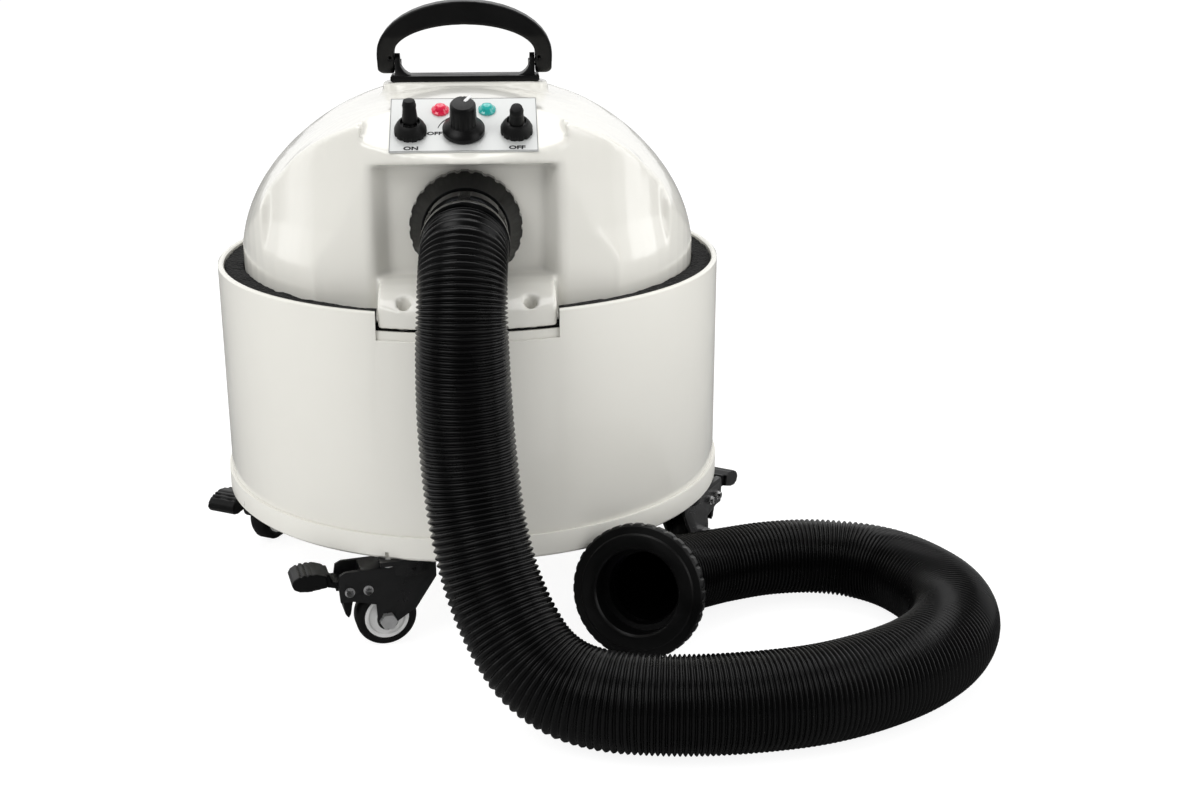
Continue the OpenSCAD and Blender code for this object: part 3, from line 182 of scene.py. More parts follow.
class Surface:
    """One procedural material: a Principled shader fed by noise on Object coordinates."""

    def __init__(self, name, colour, roughness, metallic=0.0, coat=0.0, sheen=0.0, gloss=0.5):
        self.mat = bpy.data.materials.new(name)
        self.mat.use_nodes = True
        self.tree = self.mat.node_tree
        self.bsdf = next(n for n in self.tree.nodes if n.type == "BSDF_PRINCIPLED")
        self.coords = self.add("ShaderNodeTexCoord").outputs["Object"]
        self.colour = (*colour, 1)
        sockets = self.bsdf.inputs
        sockets["Base Color"].default_value = self.colour
        sockets["Roughness"].default_value = roughness
        sockets["Metallic"].default_value = metallic
        sockets["Coat Weight"].default_value = coat
        sockets["Coat Roughness"].default_value = 0.06
        sockets["Sheen Weight"].default_value = sheen
        sockets["Specular IOR Level"].default_value = gloss
        self.height = None

    def add(self, kind):
        """A new node of the material."""
        return self.tree.nodes.new(kind)

    def link(self, a, b):
        """Joins an output to an input."""
        self.tree.links.new(a, b)

    def noise(self, scale, detail, stretch=None):
        """A noise over the object, finer along an axis where it is stretched."""
        node = self.add("ShaderNodeTexNoise")
        node.inputs["Scale"].default_value = scale
        node.inputs["Detail"].default_value = detail
        if stretch is None:
            self.link(self.coords, node.inputs["Vector"])
        else:
            mapping = self.add("ShaderNodeMapping")
            mapping.inputs["Scale"].default_value = stretch
            self.link(self.coords, mapping.inputs["Vector"])
            self.link(mapping.outputs["Vector"], node.inputs["Vector"])
        return node.outputs["Fac"]

    def drift(self, socket, scale, detail, low, high):
        """Lets an input drift between two colours or greys."""
        node = self.add("ShaderNodeValToRGB")
        for element, place, colour in zip(node.color_ramp.elements, (0.3, 0.7), (low, high)):
            element.position = place
            element.color = colour
        self.link(self.noise(scale, detail), node.inputs["Fac"])
        self.link(node.outputs["Color"], self.bsdf.inputs[socket])
        return self

    def mottled(self, scale, darker):
        """Colour drifts between its own value and a darker one."""
        dark = tuple(c * darker for c in self.colour[:3]) + (1,)
        return self.drift("Base Color", scale, 5, dark, self.colour)

    def worn(self, scale, low, high):
        """Roughness drifts between two values."""
        return self.drift("Roughness", scale, 6, (low, low, low, 1), (high, high, high, 1))

    def glowing(self, colour, strength):
        """Gives back a little light of its own: the glow of the lit indicator lamps on their lenses, and
        painted light on the pale sleeve.
        """
        self.bsdf.inputs["Emission Color"].default_value = (*colour, 1)
        self.bsdf.inputs["Emission Strength"].default_value = strength

    def bumpy(self, fac, strength, distance):
        """Adds a relief to those the surface has."""
        node = self.add("ShaderNodeBump")
        node.inputs["Strength"].default_value = strength
        node.inputs["Distance"].default_value = distance
        self.link(fac, node.inputs["Height"])
        if self.height is not None:
            self.link(self.height, node.inputs["Normal"])
        self.height = node.outputs["Normal"]
        self.link(self.height, self.bsdf.inputs["Normal"])
        return self

    def grain(self, scale, strength, distance=0.0002, stretch=None):
        """A fine uneven relief."""
        return self.bumpy(self.noise(scale, 3, stretch), strength, distance)

    def cells(self, scale, strength, distance):
        """A relief of small pits."""
        node = self.add("ShaderNodeTexVoronoi")
        node.inputs["Scale"].default_value = scale
        self.link(self.coords, node.inputs["Vector"])
        return self.bumpy(node.outputs["Distance"], strength, distance)


def make_materials(colours):
    """The materials of all slots by name."""
    black = tuple(colours.black)
    mats = {}

    def keep(slot, surface):
        """Files a surface's material under its slot."""
        mats[slot] = surface.mat
        return surface

    shell = keep("white_plastic", Surface("glossy_shell", colours.shell, 0.2, coat=0.5))
    shell.mottled(9, 0.975).worn(30, 0.16, 0.26).grain(420, 0.035, 0.0003)
    tray = keep("tray_plastic", Surface("tray_moulding", colours.shell, 0.3, coat=0.2))
    tray.mottled(7, 0.96).worn(24, 0.26, 0.4).grain(380, 0.05, 0.0003)
    deck = keep("deck_plastic", Surface("deck_moulding", (0.3, 0.3, 0.29), 0.55))
    deck.mottled(20, 0.85).grain(600, 0.15)
    foam = keep("foam", Surface("filter_foam", (0.009, 0.009, 0.0092), 0.95, sheen=0.08, gloss=0.1))
    foam.mottled(400, 0.35).cells(520, 0.9, 0.0012).grain(180, 0.6, 0.001)
    rubber = keep("seal_rubber", Surface("black_rubber", (0.006, 0.006, 0.006), 0.5, gloss=0.25))
    rubber.mottled(60, 0.8).worn(90, 0.42, 0.6).grain(700, 0.1)
    satin = keep("black_plastic", Surface("satin_black", (0.003, 0.003, 0.0031), 0.36, gloss=0.25))
    satin.mottled(40, 0.8).worn(60, 0.3, 0.46).grain(900, 0.1)
    gloss = keep("gloss_black", Surface("gloss_black", black, 0.14, coat=0.2, gloss=0.3))
    gloss.mottled(30, 0.85).worn(40, 0.1, 0.2).grain(500, 0.03)
    hose = keep("hose_plastic", Surface("hose_black", black, 0.26, gloss=0.2))
    hose.mottled(26, 0.8).worn(45, 0.22, 0.32).grain(600, 0.02)
    spigot = keep("spigot_plastic", Surface("spigot_grey", (0.06, 0.06, 0.063), 0.35))
    spigot.mottled(50, 0.85).grain(600, 0.08)
    # The pale sleeve's emission is painted light: a faint glow that brightens it where it lies in the shade
    # of the nut
    sleeve = keep("pale_sleeve", Surface("pale_liner", (0.72, 0.75, 0.78), 0.25, coat=0.3))
    sleeve.mottled(60, 0.9).grain(500, 0.04).glowing((0.5, 0.52, 0.55), 0.12)
    plate = keep("panel_plate", Surface("silver_plate", colours.plate, 0.42, metallic=0.15, coat=0.1))
    plate.mottled(14, 0.96).worn(30, 0.38, 0.5).grain(260, 0.05, 0.0002, stretch=(1, 40, 40))
    for name, tint in (("lamp_red", colours.red), ("lamp_green", colours.green)):
        lens = keep(name, Surface(name + "_lens", tint, 0.08, coat=0.8))
        lens.mottled(120, 0.75).grain(300, 0.04).glowing(tint, 0.25)
    steel = keep("screw_steel", Surface("plated_steel", (0.8, 0.8, 0.8), 0.34, metallic=0.8))
    steel.mottled(160, 0.8).worn(200, 0.22, 0.42).grain(800, 0.05)
    cast = keep("motor_metal", Surface("motor_metal", (0.4, 0.41, 0.42), 0.42, metallic=0.9))
    cast.mottled(60, 0.8).worn(90, 0.35, 0.5).grain(300, 0.1)
    rotor = keep("rotor_metal", Surface("rotor_metal", (0.35, 0.3, 0.25), 0.45, metallic=0.8))
    rotor.mottled(60, 0.7).grain(300, 0.1)
    board = keep("circuit", Surface("circuit_board", (0.02, 0.14, 0.06), 0.4))
    board.mottled(200, 0.7).grain(400, 0.06)
    fork = keep("fork_steel", Surface("black_steel", (0.008, 0.008, 0.0085), 0.3, gloss=0.45))
    fork.mottled(50, 0.8).worn(70, 0.24, 0.42).grain(420, 0.07)
    tyre = keep("tyre_rubber", Surface("tyre_rubber", (0.006, 0.006, 0.006), 0.5, gloss=0.25))
    tyre.mottled(80, 0.75).worn(110, 0.42, 0.62).grain(650, 0.1)
    hub = keep("hub_plastic", Surface("hub_nylon", (0.8, 0.8, 0.79), 0.35))
    hub.mottled(90, 0.9).grain(500, 0.06)
    print_ink = keep("print", Surface("print_ink", (0.006, 0.006, 0.007), 0.5, gloss=0.2))
    print_ink.mottled(300, 0.7).grain(900, 0.04)
    keep("line_ink", Surface("line_ink", (0.2, 0.2, 0.2), 0.5)).mottled(300, 0.8).grain(900, 0.04)
    keep("white_mark", Surface("white_mark", (0.75, 0.75, 0.75), 0.4)).mottled(300, 0.92).grain(900, 0.04)
    return mats


MATERIALS = {}


# ---------- mesh helpers ----------


def node_body(node):
    """The body that a node rides on."""
    return next(b for b, nodes in frame["record"]["behaviour"]["bodies"].items() if node in nodes)


def node_slot(node):
    """The material slot of a node."""
    return next(p["material_slot"] for p in frame["record"]["subparts"] if p["node"] == node)


def new_piece(name, mesh, slot, body="housing", instead_of=(), shade=35):
    """Makes an object of a mesh, shades it, gives it its finish and lets it ride on a body."""
    obj = bpy.data.objects.new(name, mesh)
    bpy.context.scene.collection.objects.link(obj)
    if not mesh.materials:
        mesh.materials.append(MATERIALS[slot])
    if shade:
        smooth_by_angle(mesh, shade)
    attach(obj, body)
    if instead_of:
        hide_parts(*instead_of)
    return obj


def smooth_by_angle(mesh, degrees):
    """Shades a mesh smooth, with sharp edges where its faces turn by more than the angle."""
    mesh.shade_smooth()
    bm = bmesh.new()
    bm.from_mesh(mesh)
    limit = math.radians(degrees)
    for edge in bm.edges:
        edge.smooth = len(edge.link_faces) == 2 and edge.calc_face_angle(0) < limit
    bm.to_mesh(mesh)
    bm.free()


def merged_copy(node, dissolve=0.6):
    """A node's mesh with its loose triangles joined and its flat faces made whole."""
    bm = bmesh.new()
    bm.from_mesh(NODES[node].data)
    bmesh.ops.remove_doubles(bm, verts=bm.verts, dist=2e-6)
    if dissolve:
        bmesh.ops.dissolve_limit(bm, angle_limit=math.radians(dissolve), verts=bm.verts, edges=bm.edges)
    mesh = bpy.data.meshes.new(node + "_skin")
    bm.to_mesh(mesh)
    bm.free()
    mesh.materials.clear()
    return mesh


def baked(obj, name):
    """The evaluated mesh of an object, with its modifiers applied."""
    graph = bpy.context.evaluated_depsgraph_get()
    mesh = bpy.data.meshes.new_from_object(obj.evaluated_get(graph))
    mesh.name = name
    return mesh


def stand_in(node, mesh, kind="finish", shade=40):
    """Puts a mesh in a node's place, with the node's body and finish."""
    mesh.materials.clear()
    return new_piece(f"{node}_{kind}", mesh, node_slot(node), node_body(node), (node,), shade)


def softened(node, width, segments=2):
    """Replaces a node by a copy with its sharp edges rounded."""
    obj = bpy.data.objects.new(node + "_soft", merged_copy(node))
    bpy.context.scene.collection.objects.link(obj)
    bevel = obj.modifiers.new("round", "BEVEL")
    bevel.width = width
    bevel.segments = segments
    bevel.limit_method = "ANGLE"
    bevel.angle_limit = math.radians(38)
    bevel.use_clamp_overlap = True
    out = baked(obj, node + "_finish")
    bpy.data.objects.remove(obj)
    return stand_in(node, out)


def moulded(node, voxel, rounds, weight=None, fills=()):
    """Replaces a node by a copy whose surfaces flow into each other, as those of a moulding do.

    The copy is remeshed in even steps and smoothed, by as much as weight says. Each of fills is the place of
    a small ball that fills a pit.
    """
    mesh = merged_copy(node, 0)
    bm = bmesh.new()
    bm.from_mesh(mesh)
    for place in fills:
        bmesh.ops.create_icosphere(bm, subdivisions=4, radius=1, matrix=place)
    bm.to_mesh(mesh)
    bm.free()
    obj = bpy.data.objects.new(node + "_even", mesh)
    bpy.context.scene.collection.objects.link(obj)
    even = obj.modifiers.new("even", "REMESH")
    even.mode = "VOXEL"
    even.voxel_size = voxel
    grid = bpy.data.objects.new(node + "_grid", baked(obj, node + "_grid"))
    bpy.data.objects.remove(obj)
    bpy.context.scene.collection.objects.link(grid)
    flow = grid.modifiers.new("flow", "SMOOTH")
    flow.factor = 0.5
    flow.iterations = rounds
    if weight:
        group = grid.vertex_groups.new(name="flow")
        for vert in grid.data.vertices:
            group.add([vert.index], weight(vert.co), "REPLACE")
        flow.vertex_group = group.name
    count = sum(len(face.vertices) - 2 for face in grid.data.polygons)
    if count > MOST_TRIS:
        fewer = grid.modifiers.new("fewer", "DECIMATE")
        fewer.ratio = MOST_TRIS / count
        calm = grid.modifiers.new("calm", "SMOOTH")
        calm.factor = 0.5
        calm.iterations = 4
        if weight:
            calm.vertex_group = group.name
    out = baked(grid, node + "_moulded")
    bpy.data.objects.remove(grid)
    return stand_in(node, out, "moulded", 60)


def on_panel(x, v, w):
    """A point of the control panel: x to the right, v up the slope, w out of it."""
    c, s = math.cos(PANEL_TILT), math.sin(PANEL_TILT)
    return PANEL_ORIGIN + Vector((x, v * c - w * s, v * s + w * c))


def catmull(points, per_span):
    """A smooth curve through points of any dimension."""
    pts = [np.array(p, dtype=float) for p in points]
    out = []
    for i in range(len(pts) - 1):
        a, b, c, d = pts[max(i - 1, 0)], pts[i], pts[i + 1], pts[min(i + 2, len(pts) - 1)]
        for k in range(per_span):
            t = k / per_span
            out.append(
                0.5 * (2 * b + (c - a) * t + (2 * a - 5 * b + 4 * c - d) * t * t
                       + (3 * b - a - 3 * c + d) * t**3)
            )
    out.append(pts[-1])
    return np.array(out)


# ---------- geometry nodes ----------


class Tree:
    """A geometry node tree with named inputs."""

    def __init__(self, name, inputs):
        self.group = bpy.data.node_groups.new(name, "GeometryNodeTree")
        face = self.group.interface
        face.new_socket("Geometry", in_out="INPUT", socket_type="NodeSocketGeometry")
        self.ids = {}
        for label, kind in inputs:
            self.ids[label] = face.new_socket(label, in_out="INPUT", socket_type=kind).identifier
        face.new_socket("Geometry", in_out="OUTPUT", socket_type="NodeSocketGeometry")
        self.start = self.add("NodeGroupInput")
        self.end = self.add("NodeGroupOutput")

    def add(self, kind, **values):
        """A new node of the tree."""
        node = self.group.nodes.new(kind)
        for key, value in values.items():
            setattr(node, key, value)
        return node

    def link(self, a, b):
        """Joins an output to an input."""
        self.group.links.new(a, b)

    def math(self, operation, a, b=None):
        """The result of a sum on numbers or outputs."""
        node = self.add("ShaderNodeMath", operation=operation)
        for socket, value in zip(node.inputs, (a, b)):
            if value is None:
                continue
            if isinstance(value, (int, float)):
                socket.default_value = value
            else:
                self.link(value, socket)
        return node.outputs[0]

    def named(self, name):
        """A number that each point carries."""
        node = self.add("GeometryNodeInputNamedAttribute", data_type="FLOAT")
        node.inputs["Name"].default_value = name
        return node.outputs["Attribute"]

    def close(self, geometry):
        """Real geometry with its material, as the export needs."""
        real = self.add("GeometryNodeRealizeInstances")
        paint = self.add("GeometryNodeSetMaterial")
        self.link(geometry, real.inputs[0])
        self.link(real.outputs[0], paint.inputs["Geometry"])
        self.link(self.start.outputs["Material"], paint.inputs["Material"])
        self.link(paint.outputs[0], self.end.inputs["Geometry"])

    def run(self, obj, **values):
        """Runs the tree on an object and returns the result as a plain mesh."""
        modifier = obj.modifiers.new(self.group.name, "NODES")
        modifier.node_group = self.group
        for label, value in values.items():
            modifier[self.ids[label]] = value
        mesh = baked(obj, obj.name)
        bpy.data.objects.remove(obj)
        return mesh


def corrugation_tree():
    """Sweeps a round section along a line of points, with a rib for each whole step of its turns."""
    tree = Tree("corrugation", [
        ("Depth", "NodeSocketFloat"), ("Sides", "NodeSocketInt"), ("Material", "NodeSocketMaterial"),
    ])
    inputs = tree.start.outputs
    line = tree.add("GeometryNodeMeshToCurve")
    tree.link(inputs["Geometry"], line.inputs["Mesh"])
    wave = tree.math("SINE", tree.math("MULTIPLY", tree.named("turns"), math.pi))
    crest = tree.math("POWER", tree.math("ABSOLUTE", wave), RIB_POWER)
    sunk = tree.math("MULTIPLY", tree.math("SUBTRACT", crest, 1.0), inputs["Depth"])
    section = tree.add("GeometryNodeCurvePrimitiveCircle")
    section.inputs["Radius"].default_value = 1
    tree.link(inputs["Sides"], section.inputs["Resolution"])
    sweep = tree.add("GeometryNodeCurveToMesh")
    sweep.inputs["Fill Caps"].default_value = True
    tree.link(line.outputs["Curve"], sweep.inputs["Curve"])
    tree.link(section.outputs["Curve"], sweep.inputs["Profile Curve"])
    tree.link(tree.math("ADD", tree.named("wide"), sunk), sweep.inputs["Scale"])
    smooth = tree.add("GeometryNodeSetShadeSmooth")
    tree.link(sweep.outputs["Mesh"], smooth.inputs["Geometry"])
    tree.close(smooth.outputs["Geometry"])
    return tree


# ---------- operators ----------


class DRYER_OT_camera(Operator):
    bl_idname = "dryer.camera"
    bl_label = "Camera"
    bl_description = "Puts the camera at standing height in front of the dryer"

    def execute(self, context):
        """Makes the camera that looks down at the front of the dryer."""
        data = bpy.data.cameras.new("camera")
        data.lens = CAMERA_LENS
        data.sensor_width = 36
        camera = bpy.data.objects.new("camera", data)
        camera.location = CAMERA_PLACE
        camera.rotation_euler = [math.radians(turn) for turn in CAMERA_TURN]
        context.scene.collection.objects.link(camera)
        context.scene.camera = camera
        return {"FINISHED"}


class DRYER_OT_hose(Operator):
    bl_idname = "dryer.hose"
    bl_label = "Hose"
    bl_description = "Sweeps the corrugated hose along its route and rounds its cuffs"

    def execute(self, context):
        """Makes the corrugated hose from the outlet to the end cuff, and the finish of the two cuffs."""
        sizes = context.scene.dryer_sizes
        route, fine = catmull(HOSE_ROUTE, 6) * MM, catmull(HOSE_ROUTE, 60) * MM
        steps = np.linalg.norm(np.diff(fine[:, :3], axis=0), axis=1)
        along = np.concatenate([[0], np.cumsum(steps)])
        pitch = np.interp(along, *np.array(RIB_PITCHES).T * MM)
        turns = np.concatenate([[0], np.cumsum(steps * 2 / (pitch[1:] + pitch[:-1]))])
        gap = 1 / sizes.rib_rings
        ring_turns = np.append(np.arange(0, turns[-1] - gap / 2, gap), turns[-1])
        rings = np.column_stack([np.interp(ring_turns, turns, column) for column in fine.T])
        thread = bpy.data.meshes.new("hose_line")
        thread.from_pydata(rings[:, :3].tolist(), [(i, i + 1) for i in range(len(rings) - 1)], [])
        for name, values in (("turns", ring_turns), ("wide", rings[:, 3] - SKIN_INSET)):
            held = thread.attributes.new(name, "FLOAT", "POINT")
            held.data.foreach_set("value", values.astype(np.float32))
        line = bpy.data.objects.new("hose_corrugated", thread)
        context.scene.collection.objects.link(line)
        mesh = corrugation_tree().run(
            line, Depth=sizes.rib_depth, Sides=sizes.hose_sides, Material=MATERIALS["hose_plastic"]
        )
        self.open_end(mesh, route)
        hose = new_piece("hose_corrugated", mesh, "hose_plastic", instead_of=("hose",), shade=0)
        cuffs = [softened(node, 0.0004, 2) for node in ("near_cuff", "end_cuff")]
        return {"FINISHED"}

    @staticmethod
    def open_end(mesh, route, wall=0.0035, deep=0.08, steps=12):
        """Opens the far end: the cap gives way to an inner wall that runs back along the route."""
        centres, tip = [Vector(p[:3]) for p in route[::-1]], Vector(route[-1][:3])
        bm = bmesh.new()
        bm.from_mesh(mesh)
        caps = [f for f in bm.faces if len(f.verts) > 8]
        cap = min(caps, key=lambda f: (f.calc_center_median() - tip).length)
        ring = [loop.vert for loop in cap.loops]
        axis = (centres[0] - centres[1]).normalized()
        arms = [v.co - tip for v in ring]
        bmesh.ops.delete(bm, geom=[cap], context="FACES_ONLY")
        gone, i, spot = 0.0, 0, tip
        for step in range(steps + 1):
            while gone < deep * step / steps and i + 1 < len(centres):
                gone += (centres[i + 1] - centres[i]).length
                i += 1
                spot = centres[i]
            heading = (centres[i] - centres[i + 1]).normalized()
            turn = axis.rotation_difference(heading)
            inner = [bm.verts.new(spot + turn @ (arm * (1 - wall / arm.length))) for arm in arms]
            for k in range(len(ring)):
                nxt = (k + 1) % len(ring)
                bm.faces.new((ring[k], ring[nxt], inner[nxt], inner[k]))
            ring = inner
        bm.faces.new(ring)
        bmesh.ops.recalc_face_normals(bm, faces=bm.faces)
        bm.to_mesh(mesh)
        bm.free()


class DRYER_OT_finishes(Operator):
    bl_idname = "dryer.finishes"
    bl_label = "Finishes"
    bl_description = "Gives each packed piece its finish"

    def execute(self, context):
        """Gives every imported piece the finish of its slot."""
        for name, obj in NODES.items():
            obj.data.materials.clear()
            obj.data.materials.append(MATERIALS[node_slot(name)])
        return {"FINISHED"}


class DRYER_OT_mouldings(Operator):
    bl_idname = "dryer.mouldings"
    bl_label = "Mouldings"
    bl_description = "Rounds the edges of drum, dome, tray, handle, casters and small parts"

    def execute(self, context):
        """Replaces moulded and turned pieces by softer copies, and marks the knob."""
        softened("drum_shell", 0.0011, 3)
        softened("base_tray", 0.0009, 2)
        self.smooth_dome()
        self.frayed_foam()
        self.knob_mark()
        moulded("handle_grip", 0.0008, 14)
        softened("handle_bracket", 0.0009, 2)
        softened("hose_lock_nut", 0.0004, 2)
        softened("outlet_spigot", 0.0003, 1)
        softened("control_panel", 0.0002, 1)
        for side in ("left", "right"):
            softened(f"switch_{side}_boot", 0.0005, 2)
            softened(f"switch_{side}_lever", 0.0006, 2)
        softened("speed_knob", 0.0004, 2)
        self.short_screws()
        for k in range(1, 5):
            self.hollow_rivets(f"caster_{k}_bolts")
            softened(f"caster_{k}_fork", 0.0005, 2)
            softened(f"caster_{k}_tyre", 0.0006, 2)
            softened(f"caster_{k}_hub", 0.0003, 1)
            moulded(f"caster_{k}_pedal", 0.0006, 5)
        return {"FINISHED"}

    @staticmethod
    def smooth_dome():
        """The dome, its low part smoothed less than the rest, with two pits beside the panel filled."""
        least, crisp, soft = 0.2, DRUM_RIM + 0.004, DRUM_RIM + 0.022
        ball = Matrix.Diagonal((0.0045, 0.013, 0.0045, 1))
        fills = [PANEL_FRAME @ Matrix.Translation((x, 0.026, -0.0036)) @ ball for x in (-0.0625, 0.0625)]
        moulded(
            "dome_housing", 0.0015, 12,
            lambda co: min(1, max(least, (co.z - crisp) / (soft - crisp))), fills,
        )

    @staticmethod
    def short_screws():
        """The casters' screws, with shanks that end just inside the tray."""
        top = max(v.co.z for v in NODES["caster_plates"].data.vertices) + 0.0004
        mesh = merged_copy("caster_screws")
        for vert in mesh.vertices:
            vert.co.z = min(vert.co.z, top)
        stand_in("caster_screws", mesh)

    @staticmethod
    def hollow_rivets(node):
        """A caster's fasteners, with the round heads of the rivets hollowed."""
        mesh = merged_copy(node)
        bm = bmesh.new()
        bm.from_mesh(mesh)
        rounds = [(f, math.sqrt(f.calc_area() / math.pi)) for f in bm.faces if len(f.verts) >= 12]
        for face, radius in rounds:
            if 0.002 < radius < 0.0045:
                bmesh.ops.inset_individual(bm, faces=[face], thickness=0.4 * radius, depth=0)
                bmesh.ops.inset_individual(bm, faces=[face], thickness=0.08 * radius, depth=-0.7 * radius)
        bm.to_mesh(mesh)
        bm.free()
        stand_in(node, mesh)

    @staticmethod
    def frayed_foam():
        """The filter foam, with the uneven, pitted surface of a cut block."""
        mesh = merged_copy("foam_filter")
        bm = bmesh.new()
        bm.from_mesh(mesh)
        bmesh.ops.triangulate(bm, faces=bm.faces)
        for _ in range(5):
            long = [e for e in bm.edges if e.calc_length() > 0.0042]
            if not long:
                break
            bmesh.ops.subdivide_edges(bm, edges=long, cuts=1)
            bmesh.ops.triangulate(bm, faces=bm.faces)
        bm.normal_update()
        for vert in bm.verts:
            wave = 0.5 * noise.noise(vert.co * 45) + 0.5 * noise.noise(vert.co * 170)
            vert.co += vert.normal * (0.0016 * wave - 0.0007)
        bm.to_mesh(mesh)
        bm.free()
        new_piece("foam_cut", mesh, "foam", instead_of=("foam_filter",), shade=60)

    @staticmethod
    def knob_mark():
        """A white index mark let into the top of the speed knob."""
        out = (PANEL_FRAME.to_3x3() @ Vector((0, 0, 1))).normalized()
        top = max((v.co - PANEL_ORIGIN).dot(out) for v in NODES["speed_knob"].data.vertices)
        bm = bmesh.new()
        bmesh.ops.create_cube(bm, size=1.0)
        bmesh.ops.bevel(bm, geom=bm.edges[:], offset=0.12, segments=2, affect="EDGES")
        turn = Matrix.Rotation(math.radians(55), 4, "Z")
        place = Matrix.Translation((0, CONTROLS_V, top - INK)) @ turn @ Matrix.Translation((0.0052, 0, 0))
        bar = Matrix.Diagonal((0.0064, 0.0022, 0.0006, 1))
        bmesh.ops.transform(bm, matrix=PANEL_FRAME @ place @ bar, verts=bm.verts)
        mesh = bpy.data.meshes.new("knob_mark")
        bm.to_mesh(mesh)
        bm.free()
        new_piece("knob_mark", mesh, "white_mark", "knob")


class DRYER_OT_print(Operator):
    bl_idname = "dryer.panel_print"
    bl_label = "Panel print"
    bl_description = "Prints the lettering, the dial arc and the border on the control plate"

    def execute(self, context):
        """Prints ON, OFF, the dial's arc and the border on the plate."""
        size, half_ink = context.scene.dryer_sizes.text_size, 0.6 * INK
        stretch = Matrix.Diagonal((1.15, 0.88, 1, 1))
        words, lines = bmesh.new(), bmesh.new()
        for text, x, v, scale in (
            ("ON", -0.032, 0.0055, 1.0), ("OFF", 0.0325, 0.0055, 1.0), ("OFF", -0.0178, 0.0196, 0.92),
        ):
            curve = bpy.data.curves.new("word", "FONT")
            curve.body = text
            curve.size = size * scale
            curve.align_x = "CENTER"
            curve.align_y = "CENTER"
            curve.extrude = half_ink
            curve.offset = 0.00016
            obj = bpy.data.objects.new("word", curve)
            context.scene.collection.objects.link(obj)
            mesh = baked(obj, "word")
            bpy.data.objects.remove(obj)
            mesh.transform(PANEL_FRAME @ Matrix.Translation((x, v, PLATE_TOP + half_ink)) @ stretch)
            words.from_mesh(mesh)
        self.arc(words, 0.0163, 0.0006, 65, 166)
        for x0, v0, x1, v1 in (
            (-BORDER_X, BORDER_LOW, BORDER_X, BORDER_LOW + BORDER_W),
            (-BORDER_X, BORDER_HIGH - BORDER_W, BORDER_X, BORDER_HIGH),
            (-BORDER_X, BORDER_LOW, BORDER_W - BORDER_X, BORDER_HIGH),
            (BORDER_X - BORDER_W, BORDER_LOW, BORDER_X, BORDER_HIGH),
        ):
            self.bar(lines, x0, v0, x1, v1)
        for name, slot, shape in (("panel_print", "print", words), ("panel_border", "line_ink", lines)):
            mesh = bpy.data.meshes.new(name)
            shape.to_mesh(mesh)
            shape.free()
            new_piece(name, mesh, slot, shade=0)
        return {"FINISHED"}

    @staticmethod
    def bar(bm, x0, v0, x1, v1):
        """A printed bar between two corners."""
        low, top = (
            [bm.verts.new(on_panel(x, v, w)) for x, v in ((x0, v0), (x1, v0), (x1, v1), (x0, v1))]
            for w in (PLATE_TOP, PLATE_TOP + INK)
        )
        bm.faces.new(top)
        bm.faces.new(low[::-1])
        for i in range(4):
            bm.faces.new((low[i], low[(i + 1) % 4], top[(i + 1) % 4], top[i]))

    @staticmethod
    def arc(bm, radius, width, start, stop, steps=24):
        """A printed arc round the knob that narrows along its way."""
        rows = []
        for i in range(steps + 1):
            a = math.radians(start + (stop - start) * i / steps)
            half = width * (1.4 - i / steps)
            rows.append([
                bm.verts.new(on_panel(r * math.cos(a), CONTROLS_V + r * math.sin(a), PLATE_TOP + w))
                for r, w in (
                    (radius - half, 0), (radius + half, 0), (radius + half, INK), (radius - half, INK)
                )
            ])
        for a, b in zip(rows, rows[1:]):
            for k in range(4):
                bm.faces.new((a[k], b[k], b[(k + 1) % 4], a[(k + 1) % 4]))
        bm.faces.new(rows[0])
        bm.faces.new(rows[-1][::-1])


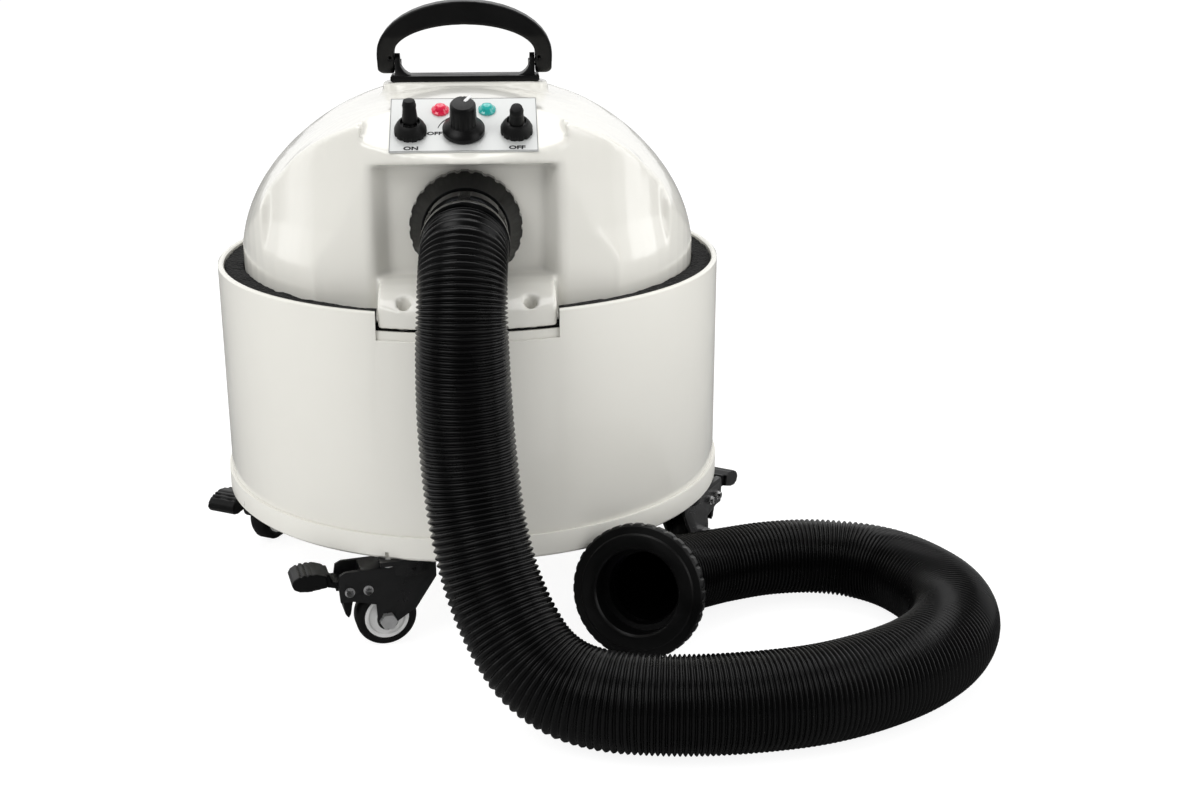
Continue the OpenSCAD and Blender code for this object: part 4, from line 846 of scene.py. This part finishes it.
class DRYER_OT_stage(Operator):
    bl_idname = "dryer.stage"
    bl_label = "Studio"
    bl_description = "Pale floor and plain soft light"

    def execute(self, context):
        """Makes the pale floor, the soft lamps and the white surroundings."""
        mesh = bpy.data.meshes.new("floor")
        mesh.from_pydata([(-6, -6, 0), (6, -6, 0), (6, 6, 0), (-6, 6, 0)], [], [(0, 1, 2, 3)])
        floor = bpy.data.objects.new("floor", mesh)
        floor.location.z = -0.0002
        context.scene.collection.objects.link(floor)
        mesh.materials.append(self.floor_material())
        self.surroundings(context)
        for name, place, size, power in LAMPS:
            light = bpy.data.lights.new(name, "AREA")
            light.shape = "RECTANGLE"
            light.size, light.size_y = size
            light.energy = power
            lamp = bpy.data.objects.new(name, light)
            lamp.location = place
            lamp.rotation_euler = (AIM - Vector(place)).to_track_quat("-Z", "Y").to_euler()
            context.scene.collection.objects.link(lamp)
        context.scene.view_settings.view_transform = "Standard"
        return {"FINISHED"}

    @staticmethod
    def floor_material():
        """A white floor that keeps its shadows, glows where it is seen and is grey where it is mirrored."""
        mat = bpy.data.materials.new("pale_floor")
        mat.use_nodes = True
        tree = mat.node_tree
        bsdf = next(n for n in tree.nodes if n.type == "BSDF_PRINCIPLED")
        out = next(n for n in tree.nodes if n.type == "OUTPUT_MATERIAL")
        glow, both, rays, dim, share = (tree.nodes.new("ShaderNode" + kind) for kind in (
            "Emission", "MixShader", "LightPath", "Mix", "Math",
        ))
        bsdf.inputs["Roughness"].default_value = 0.9
        bsdf.inputs["Specular IOR Level"].default_value = 0.0
        glow.inputs["Color"].default_value = (1, 1, 1, 1)
        glow.inputs["Strength"].default_value = 1.27
        dim.data_type = "RGBA"
        dim.inputs["A"].default_value = (0.9, 0.9, 0.9, 1)
        dim.inputs["B"].default_value = (0.25, 0.25, 0.25, 1)
        share.operation = "MULTIPLY"
        share.inputs[1].default_value = 0.7
        for a, b in (
            (rays.outputs["Is Glossy Ray"], dim.inputs["Factor"]),
            (dim.outputs["Result"], bsdf.inputs["Base Color"]),
            (rays.outputs["Is Camera Ray"], share.inputs[0]),
            (share.outputs[0], both.inputs["Fac"]),
            (bsdf.outputs[0], both.inputs[1]),
            (glow.outputs[0], both.inputs[2]),
            (both.outputs[0], out.inputs["Surface"]),
        ):
            tree.links.new(a, b)
        return mat

    @staticmethod
    def surroundings(context):
        """White surroundings, mirrored dimly on the camera's side and brightly on the far side."""
        world = bpy.data.worlds.new("studio")
        context.scene.world = world
        world.use_nodes = True
        tree = world.node_tree
        back = next(n for n in tree.nodes if n.type == "BACKGROUND")
        rays, coords, heading, wall, glossy, seen = (tree.nodes.new("ShaderNode" + kind) for kind in (
            "LightPath", "TexCoord", "SeparateXYZ", "MapRange", "Mix", "Mix",
        ))
        back.inputs["Color"].default_value = (1, 1, 1, 1)
        for name, value in zip(("From Min", "From Max", "To Min", "To Max"), (-0.1, 0.5, *MIRRORED)):
            wall.inputs[name].default_value = value
        glossy.inputs["A"].default_value = SOFT
        seen.inputs["B"].default_value = SEEN
        for a, b in (
            (coords.outputs["Generated"], heading.inputs["Vector"]),
            (heading.outputs["Y"], wall.inputs["Value"]),
            (rays.outputs["Is Glossy Ray"], glossy.inputs["Factor"]),
            (wall.outputs["Result"], glossy.inputs["B"]),
            (rays.outputs["Is Camera Ray"], seen.inputs["Factor"]),
            (glossy.outputs["Result"], seen.inputs["A"]),
            (seen.outputs["Result"], back.inputs["Strength"]),
        ):
            tree.links.new(a, b)


class DRYER_PT_panel(Panel):
    bl_idname = "DRYER_PT_panel"
    bl_label = "Pet dryer"
    bl_space_type = "VIEW_3D"
    bl_region_type = "UI"
    bl_category = "Pet dryer"

    def draw(self, context):
        """Lists the sizes and colours, and a button for each step."""
        for group in (context.scene.dryer_sizes, context.scene.dryer_colours):
            for name in group.__annotations__:
                self.layout.prop(group, name)
        for step in STEPS:
            self.layout.operator(step.bl_idname)


STEPS = (
    DRYER_OT_camera, DRYER_OT_hose, DRYER_OT_finishes, DRYER_OT_mouldings, DRYER_OT_print, DRYER_OT_stage,
)
CLASSES = (DryerSizes, DryerColours, *STEPS, DRYER_PT_panel)


def register():
    """Registers the classes and the two groups of settings."""
    for cls in CLASSES:
        bpy.utils.register_class(cls)
    bpy.types.Scene.dryer_sizes = PointerProperty(type=DryerSizes)
    bpy.types.Scene.dryer_colours = PointerProperty(type=DryerColours)


def unregister():
    """Takes the settings and the classes away again."""
    del bpy.types.Scene.dryer_colours
    del bpy.types.Scene.dryer_sizes
    for cls in reversed(CLASSES):
        bpy.utils.unregister_class(cls)


def main():
    """Registers the add-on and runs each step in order."""
    register()
    for obj in [o for o in bpy.data.objects if o.name in {"Cube", "Light", "Camera"}]:
        bpy.data.objects.remove(obj)
    MATERIALS.update(make_materials(bpy.context.scene.dryer_colours))
    for step in STEPS:
        group, name = step.bl_idname.split(".")
        getattr(getattr(bpy.ops, group), name)()


if __name__ == "__main__":
    main()
